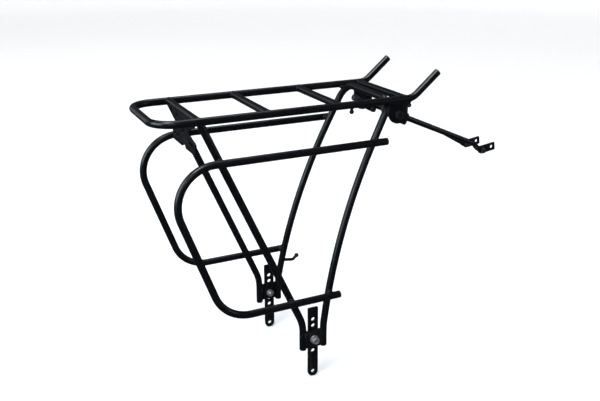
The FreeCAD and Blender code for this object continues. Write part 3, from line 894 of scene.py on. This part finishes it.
@dataclass
class Legs:
    """The rear legs, the front leg hoop, the foot plates and the pannier hook."""

    sizes: RackSizes
    bead: Bead = field(default_factory=Bead)
    small_bead: Bead = field(default_factory=lambda: Bead(radius=1.1))
    hoop_bead: Bead = field(default_factory=lambda: Bead(radius=2.3))
    hoop_bead_half_length: float = 8.0
    plate_bead_margin: float = 2.0
    hook_z: float = 106.0
    hook_wire_radius: float = 2.4
    hook_dip: tuple[float, float] = (19.5, -3.0)
    hook_bend_radius: float = 3.0

    def hoop_weld(self) -> Skin:
        """The bead along the left rail where the hoop's corner touches it."""
        s = self.sizes
        points = s.hoop_route().points
        points = points[points[:, 1] >= 0]
        gap = points[:, 1:] - [s.rail_y, s.deck_z]
        nearest = points[int(np.argmin(np.linalg.norm(gap, axis=1)))]
        rail = vec(nearest[0], s.rail_y, s.deck_z)
        touch = rail + unit(nearest - rail) * s.tube
        half = self.hoop_bead_half_length
        run = np.linspace(-half, half, 30)[:, None] * vec(1, 0, 0)
        return self.hoop_bead.along(touch + run, False, 71)

    def rear_leg_weld(self) -> Skin:
        """The bead where the left rear leg meets the rail."""
        s = self.sizes
        route = s.rear_leg_route().points
        way = unit(route[0] - route[1])
        seam = seam_round(route[0] - way * 40, way, s.tube,
                          vec(0, s.rail_y, s.deck_z), vec(1, 0, 0), s.tube)
        return self.bead.along(seam, True, 72)

    def foot_plate_welds(self) -> Skin:
        """Straight beads along both faces of the left foot plate, at both leg ends."""
        s = self.sizes
        low, high = node_ends("foot_plate_left")
        skins = []
        for number, y in enumerate((low[1], high[1])):
            reach = math.sqrt(max(s.tube ** 2 - (y - s.foot_y) ** 2, 0))
            for end in (-1, 1):
                x = end * (s.foot_half_length - reach)
                margin = self.plate_bead_margin
                z = np.linspace(low[2] + margin, high[2] - margin, 30)[:, None]
                path = vec(x, y, 0) + z * vec(0, 0, 1)
                skins.append(self.small_bead.along(path, False, 80 + 3 * number + end))
        return joined(skins)

    def hook(self) -> Skin:
        """The ball-ended wire hook in front of the left front leg.

        Its wire is round, and its last rows swell into a ball: past the wire's end each row's
        radius is the height of a circle of the ball's radius at that distance.
        """
        low, high = node_ends("pannier_hook_left")
        ball_radius = (high[1] - low[1]) / 2
        ball = vec(high[0] - ball_radius, (low[1] + high[1]) / 2, high[2] - ball_radius)
        root, _ = self.sizes.hoop_route().at_height(self.hook_z)
        forward, down = self.hook_dip
        dip = root + vec(forward, 0, down)
        route = Route.rounded([root, dip, ball], [self.hook_bend_radius], vec(0, 1, 0), turn=6)
        wire = round_bar(route, self.hook_wire_radius, 40)
        rows = arc_rows(0, 0, ball_radius, -88, 88, 24)
        return joined([wire, turned(ball, unit(ball - dip), rows, columns=48)])

    def build(self, shop: Workshop) -> None:
        """Makes and dresses the legs."""
        s = self.sizes
        shop.piece("leg_hoop_tube", round_bar(s.hoop_route(), s.tube), TUBE_PAINT,
                   nodes=["front_leg_hoop"])
        leg = round_bar(s.rear_leg_route(), s.tube)
        plugs = joined([end_plug(vec(x, s.foot_y, s.leg_bottom_z), vec(0, 0, -1), s.tube)
                        for x in (-s.foot_half_length, s.foot_half_length)])
        left_welds = [self.hoop_weld(), self.rear_leg_weld(), self.foot_plate_welds()]
        for side in Side:
            word = side.word
            shop.piece(f"rear_leg_tube_{word}", leg.on(side), TUBE_PAINT,
                       nodes=[f"rear_leg_{word}"])
            shop.piece(f"leg_end_plugs_{word}", plugs.on(side), PLASTIC,
                       nodes=[f"leg_plugs_{word}"])
            shop.piece(f"leg_welds_{word}", joined([w.on(side) for w in left_welds]),
                       TUBE_PAINT)
            shop.softened(f"foot_plate_{word}", PLATE_PAINT, RACK)
        root, way = s.hoop_route().at_height(self.hook_z)
        seam = seam_round(root + vec(20, 0, 0), vec(-1, 0, 0), self.hook_wire_radius, root,
                          way, s.tube)
        shop.piece("pannier_hook_wire", self.hook(), TUBE_PAINT, nodes=["pannier_hook_left"])
        shop.piece("pannier_hook_weld", self.small_bead.along(seam, True, 90), TUBE_PAINT)


@dataclass
class PannierLoop:
    """One pannier loop with its spacers and plugs."""

    sizes: RackSizes
    side: Side
    corner_radius: float = 51.0
    top_rear_x: float = -206.0
    bottom_rear_x: float = -132.5
    spacer_radius: float = 4.0
    spacer_start: float = 3.0
    bead: Bead = field(default_factory=lambda: Bead(radius=1.1))

    def corners(self) -> list[np.ndarray]:
        """The loop's corners on the left, from its top front end round to its lower front."""
        tube = self.sizes.tube
        low, high = node_ends("pannier_loop_left")
        top, bottom = high[2] - tube, low[2] + tube
        near, far = low[1] + tube, high[1] - tube
        lower_front = node_low("loop_plugs_left")[0] + PLUG_STEM
        return [vec(high[0], near, top), vec(self.top_rear_x, near, top),
                vec(self.bottom_rear_x, far, bottom), vec(lower_front, far, bottom)]

    def spacers(self) -> tuple[Skin, Skin]:
        """The spacers between loop and legs, and the beads round both ends of each."""
        s = self.sizes
        corners = self.corners()
        bars, beads = [], []
        for at, loop_corner in enumerate((corners[0], corners[3])):
            for leg, route in enumerate((s.rear_leg_route(), s.hoop_route())):
                start, way = route.at_height(float(loop_corner[2]))
                end = vec(start[0], loop_corner[1], loop_corner[2])
                across = unit(end - start)
                inset = across * self.spacer_start
                line = Route(np.array([start + inset, end - inset]), vec(0, 0, 1))
                bars.append(round_bar(line, self.spacer_radius, 48))
                middle = (start + end) / 2
                on_leg = seam_round(middle, -across, self.spacer_radius, start, way, s.tube)
                on_loop = seam_round(middle, across, self.spacer_radius, end, vec(1, 0, 0),
                                     s.tube)
                for number, seam in enumerate((on_leg, on_loop)):
                    seed = 100 + 4 * at + 2 * leg + number
                    beads.append(self.bead.along(seam, True, seed))
        return joined(bars), joined(beads)

    def build(self, shop: Workshop) -> None:
        """Makes and dresses the loop."""
        s, side = self.sizes, self.side
        corners = self.corners()
        route = Route.rounded(corners, [self.corner_radius] * 2, vec(0, 1, 0), turn=2.5)
        shop.piece(f"loop_tube_{side.word}", round_bar(route, s.tube).on(side), TUBE_PAINT,
                   nodes=[f"pannier_loop_{side.word}"])
        bars, beads = self.spacers()
        shop.piece(f"loop_spacer_bars_{side.word}", bars.on(side), TUBE_PAINT,
                   nodes=[f"loop_spacers_{side.word}"])
        shop.piece(f"loop_welds_{side.word}", beads.on(side), TUBE_PAINT)
        plugs = joined([end_plug(p, vec(1, 0, 0), s.tube) for p in (corners[0], corners[3])])
        shop.piece(f"loop_end_plugs_{side.word}", plugs.on(side), PLASTIC,
                   nodes=[f"loop_plugs_{side.word}"])


@dataclass
class LightPlate:
    """The drilled and slotted plate that hangs from the tail crossbar."""

    sizes: RackSizes
    bead: Bead = field(default_factory=lambda: Bead(radius=1.05))
    stitch: tuple[float, float] = (14.0, 38.0)

    def welds(self) -> Skin:
        """Stitch beads along both faces where the plate meets the crossbar."""
        s = self.sizes
        low, high = node_ends("light_plate")
        bar_x = float(node_centre("crossbar_tail")[0])
        skins = []
        for number, x in enumerate((low[0], high[0])):
            z = s.deck_z - math.sqrt(s.tube ** 2 - (x - bar_x) ** 2)
            for side in Side:
                y = np.linspace(*self.stitch, 40)[:, None] * side.value
                path = vec(x, 0, z) + y * vec(0, 1, 0)
                skins.append(self.bead.along(path, False, 120 + 3 * number + side.value))
        return joined(skins)

    def build(self, shop: Workshop) -> None:
        """Makes and dresses the plate."""
        shop.softened("light_plate", PLATE_PAINT, RACK, edge=0.4)
        shop.piece("light_plate_welds", self.welds(), TUBE_PAINT)


@dataclass(frozen=True)
class Fastener:
    """A metric bolt or stud with its nut and washer, along Y, worked out on the left."""

    thread: float
    pitch: float
    head: float
    head_height: float
    key: float
    nut_flats: float
    socket_share: float = 0.55
    crown: float = 0.7
    point: float = 0.6
    knurls: int = 36
    knurl_depth: float = 0.16
    thread_share: float = 0.55

    def thread_rows(self, start: float, end: float) -> np.ndarray:
        """Profile rows along a threaded tail, eight to each turn."""
        count = max(3, int(abs(end - start) / self.pitch * 8))
        heights = np.linspace(start, end, count)
        return np.stack([heights, np.full(count, self.thread)], axis=1)

    def bolt(self, seat: np.ndarray, way: np.ndarray, length: float, threaded: float) -> Skin:
        """A socket head bolt.

        Height is nought under the head and grows towards its top. The socket's rows follow a
        hexagon, the head's side is knurled by a fine wave round it, and the tail's rows carry
        a helix: the radius falls by a saw wave of height over pitch less angle.

        Args:
            seat: Middle of the face under the head.
            way: Direction from the shank to the head.
            length: Length under the head.
            threaded: Length of the threaded tail.

        Returns:
            The closed skin.
        """
        top, depth = self.head_height, self.socket_share * self.head_height
        apothem = self.key / 2
        socket = np.array([[top - depth - 0.5, 0.02], [top - depth, apothem * 0.98],
                           [top - 0.3, apothem], [top, apothem + 0.35]])
        crown = arc_rows(top - self.crown, self.head - self.crown, self.crown, 80, 0, 5)
        rim = np.vstack([[[top, self.head - 1.1]], crown])
        side = np.array([[h, self.head] for h in np.linspace(top - 1.0, 0.9, 4)])
        foot = np.array([[0.25, self.head], [0.0, self.head - 0.25], [0.0, self.thread]])
        plain = np.array([[-max(0.1, length - threaded), self.thread]])
        tail = self.thread_rows(-max(0.2, length - threaded), -length + self.point)
        tip = np.array([[-length, self.thread - self.point], [-length, 0.02]])
        rows = np.vstack([socket, rim, side, foot, plain, tail, tip])
        hexed = np.zeros((len(rows), 1))
        hexed[1:4] = 1
        knurled = np.zeros((len(rows), 1))
        first = len(socket) + len(rim)
        knurled[first:first + len(side)] = self.knurl_depth
        helix = np.zeros((len(rows), 1))
        first = len(rows) - len(tip) - len(tail)
        helix[first:first + len(tail)] = self.thread_share * self.pitch
        heights = rows[:, :1]

        def shape(radii: np.ndarray, angle: np.ndarray) -> np.ndarray:
            """Hexagon in the socket, knurl on the side and helix on the tail."""
            hexagon = radii * hex_radius(1.0, angle) * 2
            saw = np.abs(((heights / self.pitch - angle / (2 * np.pi)) % 1) * 2 - 1)
            knurl = knurled * (np.cos(self.knurls * angle) - 1) / 2
            return radii * (1 - hexed) + hexagon * hexed + knurl - helix * saw

        return turned(seat, way, rows, columns=144, shape=shape)

    def nut(self, seat: np.ndarray, way: np.ndarray, height: float) -> Skin:
        """A hexagon nut whose corners are turned down on both faces.

        The outer radius is the hexagon's, or a cone's where that is smaller.

        Args:
            seat: Middle of the face that bears.
            way: Direction from the seat to the far face.
            height: The nut's height.

        Returns:
            The closed ring.
        """
        bore, limit = self.thread + 0.02, self.nut_flats / 2
        steps = np.array([0, 0.12, 0.35, 0.7])
        levels = np.concatenate([steps, height - steps[::-1]])
        inner = np.array([[height - 0.4, bore], [height, bore + 0.4]])
        faces = np.array([[height, limit - 0.1]])
        outer = np.stack([levels[::-1], np.full(len(levels), limit)], axis=1)
        under = np.array([[0.0, limit - 0.1], [0.0, bore + 0.4], [0.4, bore]])
        rows = np.vstack([inner, faces, outer, under])
        first = len(inner) + len(faces)
        hexed = np.zeros((len(rows), 1))
        hexed[first:first + len(outer)] = 1
        near_face = np.minimum(rows[:, :1], height - rows[:, :1])

        def shape(radii: np.ndarray, angle: np.ndarray) -> np.ndarray:
            """Hexagon outside, cut by a cone near both faces."""
            cone = limit - 0.05 + 1.5 * near_face
            hexagon = np.minimum(hex_radius(self.nut_flats, angle), cone)
            return radii * (1 - hexed) + hexagon * hexed

        return turned(seat, way, rows, ring=True, columns=144, shape=shape)


def washer(seat: np.ndarray, way: np.ndarray, inner: float, outer: float,
           thickness: float) -> Skin:
    """A flat washer with a rounded punched edge."""
    edge = min(0.35, thickness / 2.2)
    rows = np.vstack([
        arc_rows(edge, outer - edge, edge, -90, 0, 5),
        arc_rows(thickness - edge, outer - edge, edge, 0, 90, 5),
        [[thickness, inner + 0.15], [thickness - 0.15, inner], [0.15, inner],
         [0.0, inner + 0.15]],
    ])
    return turned(seat, way, rows, ring=True, columns=96)


M6 = Fastener(thread=2.95, pitch=1.0, head=5.0, head_height=6.0, key=5.0, nut_flats=10.0)
M5 = Fastener(thread=2.67, pitch=0.8, head=4.25, head_height=3.0, key=3.0, nut_flats=8.0)
M4 = Fastener(thread=2.0, pitch=0.7, head=3.5, head_height=3.0, key=3.0, nut_flats=7.0)
OUT = vec(0, 1, 0)


@dataclass
class Foot:
    """A height strip with the bolt, washer and nut that clamp it."""

    side: Side
    threaded: float = 8.0

    def build(self, shop: Workshop) -> None:
        """Makes and dresses one foot."""
        side, word = self.side, self.side.word
        shop.softened(f"height_strip_{word}", PLATE_PAINT, f"height_strip_{word}", edge=0.3)
        low, high = node_ends("strip_bolt_left")
        middle = (low + high) / 2
        head_seat = vec(middle[0], high[1] - M6.head_height, middle[2])
        bolt = M6.bolt(head_seat, OUT, float(head_seat[1] - low[1]), self.threaded)
        shop.piece(f"foot_bolt_{word}", bolt.on(side), ZINC, nodes=[f"strip_bolt_{word}"])
        low, high = node_ends("strip_washer_left")
        ring = washer(vec(middle[0], low[1], middle[2]), OUT, 3.0, (high[0] - low[0]) / 2,
                      high[1] - low[1])
        shop.piece(f"foot_washer_{word}", ring.on(side), ZINC, nodes=[f"strip_washer_{word}"])
        low, high = node_ends("strip_nut_left")
        nut = M6.nut(vec(middle[0], high[1], middle[2]), -OUT, high[1] - low[1])
        shop.piece(f"foot_nut_{word}", nut.on(side), ZINC, nodes=[f"strip_nut_{word}"])


@dataclass
class Stay:
    """A stay with its bracket, clamp, cap, strap and fasteners."""

    sizes: RackSizes
    side: Side
    angle: float = 23.5
    radius: float = 4.0
    rear_reach: float = 22.0
    bend_reach: float = 154.8
    bend_radius: float = 14.0
    second_bend_radius: float = 6.0
    level_length: float = 12.3
    tongue_length: float = 7.5
    tongue_half_thickness: float = 1.75
    tongue_radius: float = 5.6
    face_gap: float = 0.1
    clamp_half_thickness: float = 5.5
    tongue_rows: int = 14
    crossbar_arc: tuple[float, float] = (-172.0, -8.0)
    hoop_arc: tuple[float, float] = (-62.0, 8.0)
    pinch_threaded: float = 5.0
    strap_threaded: float = 4.0
    bead: Bead = field(default_factory=lambda: Bead(radius=1.05))

    def along(self) -> np.ndarray:
        """Direction of the stay, forwards and down."""
        angle = math.radians(self.angle)
        return vec(math.cos(angle), 0, -math.sin(angle))

    def pivot(self) -> np.ndarray:
        """Where the clamp's stud crosses the stay's centreline, on the left."""
        nut = node_centre("clamp_nut_left")
        block_low = node_low("stay_clamp_left")
        return vec(nut[0], block_low[1] + self.clamp_half_thickness, nut[2])

    def tip(self) -> np.ndarray:
        """Middle of the tongue's eye, on the left."""
        bolt = node_centre("strap_bolt_left")
        strap_face = float(node_high("stay_strap_left")[1])
        return vec(bolt[0], strap_face + self.face_gap + self.tongue_half_thickness, bolt[2])

    def bar(self) -> Skin:
        """The stay: a round bar set sideways, whose last stretch is pressed flat.

        Along the tongue the section goes from a circle to a flat with round edges: its depth
        falls to the tongue's thickness, its width grows to the eye's, and past the eye's
        middle the width follows the eye's circle.
        """
        way, tip, pivot = self.along(), self.tip(), self.pivot()
        bend = pivot + way * self.bend_reach
        level = tip - way * self.level_length
        route = Route.rounded([pivot - way * self.rear_reach, bend, level,
                               tip - way * self.tongue_length],
                              [self.bend_radius, self.second_bend_radius], vec(0, 0, 1), turn=4)
        rows = self.tongue_rows
        flat = np.concatenate([np.linspace(-1.25, 0, rows),
                               np.sin(np.linspace(0.08, 1.5, rows))])
        tongue = tip + flat[:, None] * self.tongue_radius * way
        route = Route(np.vstack([route.points, tongue]), vec(0, 0, 1))
        before = (tip - route.points) @ way / self.tongue_radius
        blend = np.clip((1.9 - before) / 1.2, 0, 1)
        blend = blend * blend * (3 - 2 * blend)
        eye = np.sqrt(np.clip(1 - np.clip(-before, 0, 1) ** 2, 0.004, 1)) * self.tongue_radius
        half_width = self.radius * (1 - blend) + eye * blend
        half_depth = self.radius * (1 - blend) + self.tongue_half_thickness * blend
        angle = np.linspace(0, 2 * np.pi, AROUND, endpoint=False)
        square = (1 - 0.62 * blend)[:, None]
        cos, sin = np.cos(angle)[None, :], np.sin(angle)[None, :]
        wide = half_width[:, None] * cos
        deep = half_depth[:, None] * np.sign(sin) * np.abs(sin) ** square
        return swept(route, wide, deep)

    def cap(self) -> Skin:
        """The soft cap over the stay's rear end, with a bead round its mouth."""
        start = self.pivot() - self.along() * self.rear_reach
        outer = self.radius + 1.0
        rows = np.vstack([
            [[7.0, 0.5], [7.0, self.radius + 0.1]],
            arc_rows(6.5, outer - 0.45, 0.45, 80, -20, 5),
            [[5.6, outer - 0.2], [1.0, outer - 0.12]],
            arc_rows(0.5, outer - 1.6, 1.5, -5, -85, 7),
            [[-0.98, 0.8]],
        ])
        return turned(start, self.along(), rows)

    def bracket_welds(self) -> Skin:
        """Beads round the front crossbar and the hoop's top, on both faces of the bracket.

        Each is an arc about the bar's axis, at the height of the bar's surface.
        """
        s = self.sizes
        low, high = node_ends("stay_bracket_left")
        bar_x = float(node_centre("crossbar_front")[0])
        arcs = ((bar_x, *self.crossbar_arc), (s.hoop_top_x, *self.hoop_arc))
        skins = []
        for number, y in enumerate((low[1], high[1])):
            for x, first, last in arcs:
                t = np.radians(np.linspace(first, last, 50))
                path = np.stack([x + s.tube * np.cos(t), np.full(50, y),
                                 s.deck_z + s.tube * np.sin(t)], axis=1)
                skins.append(self.bead.along(path, False, 140 + number))
        return joined(skins)

    def build(self, shop: Workshop) -> None:
        """Makes and dresses one stay and what goes with it."""
        side, word = self.side, self.side.word
        clamp_body, stay_body = f"stay_clamp_{word}", f"stay_{word}"
        shop.softened(f"stay_bracket_{word}", PLATE_PAINT, RACK)
        shop.piece(f"stay_bracket_welds_{word}", self.bracket_welds().on(side), TUBE_PAINT)
        shop.softened(f"stay_clamp_{word}", PLATE_PAINT, clamp_body, edge=0.3)
        pivot = self.pivot()
        low, high = node_ends("clamp_washer_left")
        ring = washer(vec(pivot[0], low[1], pivot[2]), OUT, 3.0, (high[0] - low[0]) / 2,
                      high[1] - low[1])
        shop.piece(f"clamp_flat_washer_{word}", ring.on(side), BLACK, clamp_body,
                   [f"clamp_washer_{word}"])
        low, high = node_ends("clamp_nut_left")
        nut = M6.nut(vec(pivot[0], low[1], pivot[2]), OUT, high[1] - low[1])
        shop.piece(f"clamp_hex_nut_{word}", nut.on(side), BLACK, clamp_body,
                   [f"clamp_nut_{word}"])
        low, high = node_ends("pinch_screw_left")
        middle = (low + high) / 2
        seat = vec(middle[0], low[1] + M4.head_height, middle[2])
        screw = M4.bolt(seat, -OUT, float(high[1] - seat[1]), self.pinch_threaded)
        shop.piece(f"clamp_pinch_screw_{word}", screw.on(side), BLACK, clamp_body,
                   [f"pinch_screw_{word}"])
        shop.piece(f"stay_bar_{word}", self.bar().on(side), TUBE_PAINT, stay_body,
                   [f"stay_{word}"])
        shop.piece(f"stay_end_cap_{word}", self.cap().on(side), PLASTIC, stay_body,
                   [f"stay_cap_{word}"])
        low, high = node_ends("strap_bolt_left")
        middle = (low + high) / 2
        seat = vec(middle[0], high[1] - M5.head_height, middle[2])
        bolt = M5.bolt(seat, OUT, float(seat[1] - low[1]), self.strap_threaded)
        shop.piece(f"strap_socket_bolt_{word}", bolt.on(side), BLACK, stay_body,
                   [f"strap_bolt_{word}"])
        low, high = node_ends("strap_nut_left")
        nut = M5.nut(vec(middle[0], high[1], middle[2]), -OUT, high[1] - low[1])
        shop.piece(f"strap_hex_nut_{word}", nut.on(side), BLACK, stay_body,
                   [f"strap_nut_{word}"])
        shop.softened(f"stay_strap_{word}", PLATE_PAINT, f"stay_strap_{word}", edge=0.3)


# ---- studio --------------------------------------------------------------------------------
@dataclass(frozen=True)
class Softbox:
    """A square soft light: its place and width in metres and its power in watts."""

    name: str
    place: tuple[float, float, float]
    size: float
    power: float


@dataclass
class Studio:
    """A pale floor, soft lights and the camera."""

    camera_place: tuple[float, float, float] = (-415.0, -912.3, 602.6)
    azimuth: float = 25.49
    elevation: float = 20.07
    roll: float = -0.14
    lens: float = 45.0
    shift: tuple[float, float] = (-0.0022, -0.0017)
    floor_radius: float = 5.0
    floor_sides: int = 96
    cove: float = 2.0
    wall_height: float = 7.0
    floor_drop: float = 0.0002
    floor_grey: float = 0.88
    floor_roughness: float = 0.8
    cool_light: tuple[float, float, float] = (0.84, 0.92, 1.0)
    lit_point: tuple[float, float, float] = (0.03, 0.0, 0.25)
    softboxes: tuple[Softbox, ...] = (
        Softbox("left_softbox", (-2.6, -0.3, 1.3), 2.2, 90.0),
        Softbox("right_softbox", (1.9, -1.5, 0.9), 0.8, 5.0),
        Softbox("top_softbox", (0.1, 0.7, 2.4), 1.5, 22.0),
        Softbox("front_softbox", (-1.0, -2.6, 1.3), 1.0, 8.0),
        Softbox("far_softbox", (-1.7, 2.4, 1.05), 2.0, 8.0),
    )
    sun_power: float = 2.2
    sun_spread: float = 24.0
    sun_tilt: tuple[float, float, float] = (14.0, -18.0, 0.0)
    room_light: float = 0.06

    def camera(self) -> None:
        """A camera that looks forwards and to the left, a little down."""
        az, el, roll = (math.radians(a) for a in (self.azimuth, self.elevation, self.roll))
        ahead = vec(math.sin(az) * math.cos(el), math.cos(az) * math.cos(el), -math.sin(el))
        level = vec(math.cos(az), -math.sin(az), 0)
        upright = np.cross(level, ahead)
        right = level * math.cos(roll) + upright * math.sin(roll)
        above = upright * math.cos(roll) - level * math.sin(roll)
        data = bpy.data.cameras.new("camera")
        data.lens = self.lens
        data.shift_x, data.shift_y = self.shift
        data.clip_start, data.clip_end = 0.01, 200
        obj = bpy.data.objects.new("camera", data)
        turn = np.stack([right, above, -ahead], axis=1)
        matrix = np.eye(4)
        matrix[:3, :3] = turn
        matrix[:3, 3] = np.array(self.camera_place) * MM
        obj.matrix_world = Matrix(matrix.tolist())
        bpy.context.scene.collection.objects.link(obj)
        bpy.context.scene.camera = obj

    def floor(self) -> None:
        """A pale round floor just under the height strips, which curves up into a low wall.

        The sheet is a profile turned about the upright axis: a flat disc, a quarter round
        whose reach is the disc's radius plus the cove's times the sine, and whose height is
        the cove's times one minus the cosine, and an upright wall.
        """
        level = float(design_box[0][2]) - self.floor_drop
        turn = np.linspace(0, 2 * np.pi, self.floor_sides, endpoint=False)
        bend = np.linspace(0, np.pi / 2, 13)
        reach = np.append(self.floor_radius + self.cove * np.sin(bend),
                          self.floor_radius + self.cove)
        height = np.append(self.cove * (1 - np.cos(bend)), self.wall_height) + level
        points = np.stack([np.outer(reach, np.cos(turn)), np.outer(reach, np.sin(turn)),
                           np.outer(height, np.ones_like(turn))], axis=2).reshape(-1, 3)
        number = np.arange(len(points)).reshape(len(reach), -1)
        ahead = np.roll(number, -1, axis=1)
        sides = np.stack([number[:-1], number[1:], ahead[1:], ahead[:-1]], axis=2)
        faces = [number[0].tolist(), *sides.reshape(-1, 4).tolist()]
        mesh = bpy.data.meshes.new("floor")
        mesh.from_pydata(points.tolist(), [], faces)
        mesh.shade_smooth()
        mesh.polygons[0].use_smooth = False
        obj = bpy.data.objects.new("floor", mesh)
        obj.visible_glossy = False
        obj.visible_shadow = False
        bpy.context.scene.collection.objects.link(obj)
        bench = NodeBench("pale_floor")
        bench.shader.inputs["Base Color"].default_value = (*[self.floor_grey] * 3, 1)
        bench.shader.inputs["Roughness"].default_value = self.floor_roughness
        mesh.materials.append(bench.material)

    def light(self, box: Softbox) -> None:
        """Hangs a soft light, aimed at the lit point and hidden from the camera."""
        data = bpy.data.lights.new(box.name, "AREA")
        data.shape = "SQUARE"
        data.size = box.size
        data.energy = box.power
        data.color = self.cool_light
        obj = bpy.data.objects.new(box.name, data)
        obj.visible_camera = False
        back = unit(vec(*box.place) - vec(*self.lit_point))
        side = unit(np.cross(vec(0, 0, 1), back))
        matrix = np.eye(4)
        matrix[:3, :3] = np.stack([side, np.cross(back, side), back], axis=1)
        matrix[:3, 3] = box.place
        obj.matrix_world = Matrix(matrix.tolist())
        bpy.context.scene.collection.objects.link(obj)

    def sun(self) -> None:
        """A wide, weak sun, high at the rear right."""
        data = bpy.data.lights.new("high_sun", "SUN")
        data.energy = self.sun_power
        data.angle = math.radians(self.sun_spread)
        obj = bpy.data.objects.new("high_sun", data)
        obj.rotation_euler = tuple(math.radians(a) for a in self.sun_tilt)
        bpy.context.scene.collection.objects.link(obj)

    def build(self) -> None:
        """Sets the stage."""
        self.camera()
        self.floor()
        for box in self.softboxes:
            self.light(box)
        self.sun()
        world = bpy.data.worlds.new("pale_room")
        world.use_nodes = True
        sky = next(n for n in world.node_tree.nodes if n.type == "BACKGROUND")
        sky.inputs["Color"].default_value = (1, 1, 1, 1)
        sky.inputs["Strength"].default_value = self.room_light
        bpy.context.scene.world = world
        bpy.context.scene.view_settings.view_transform = "Standard"


def main() -> None:
    """Builds every sub-assembly in order and reports the pieces."""
    logging.basicConfig(level=logging.INFO, format="%(name)s %(message)s")
    Studio().build()
    sizes = RackSizes()
    shop = Workshop()
    Deck(sizes).build(shop)
    Legs(sizes).build(shop)
    for side in Side:
        PannierLoop(sizes, side).build(shop)
    LightPlate(sizes).build(shop)
    for side in Side:
        Foot(side).build(shop)
        Stay(sizes, side).build(shop)
    log.info("%d pieces made", len(shop.made))
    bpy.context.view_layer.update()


if __name__ == "__main__":
    main()
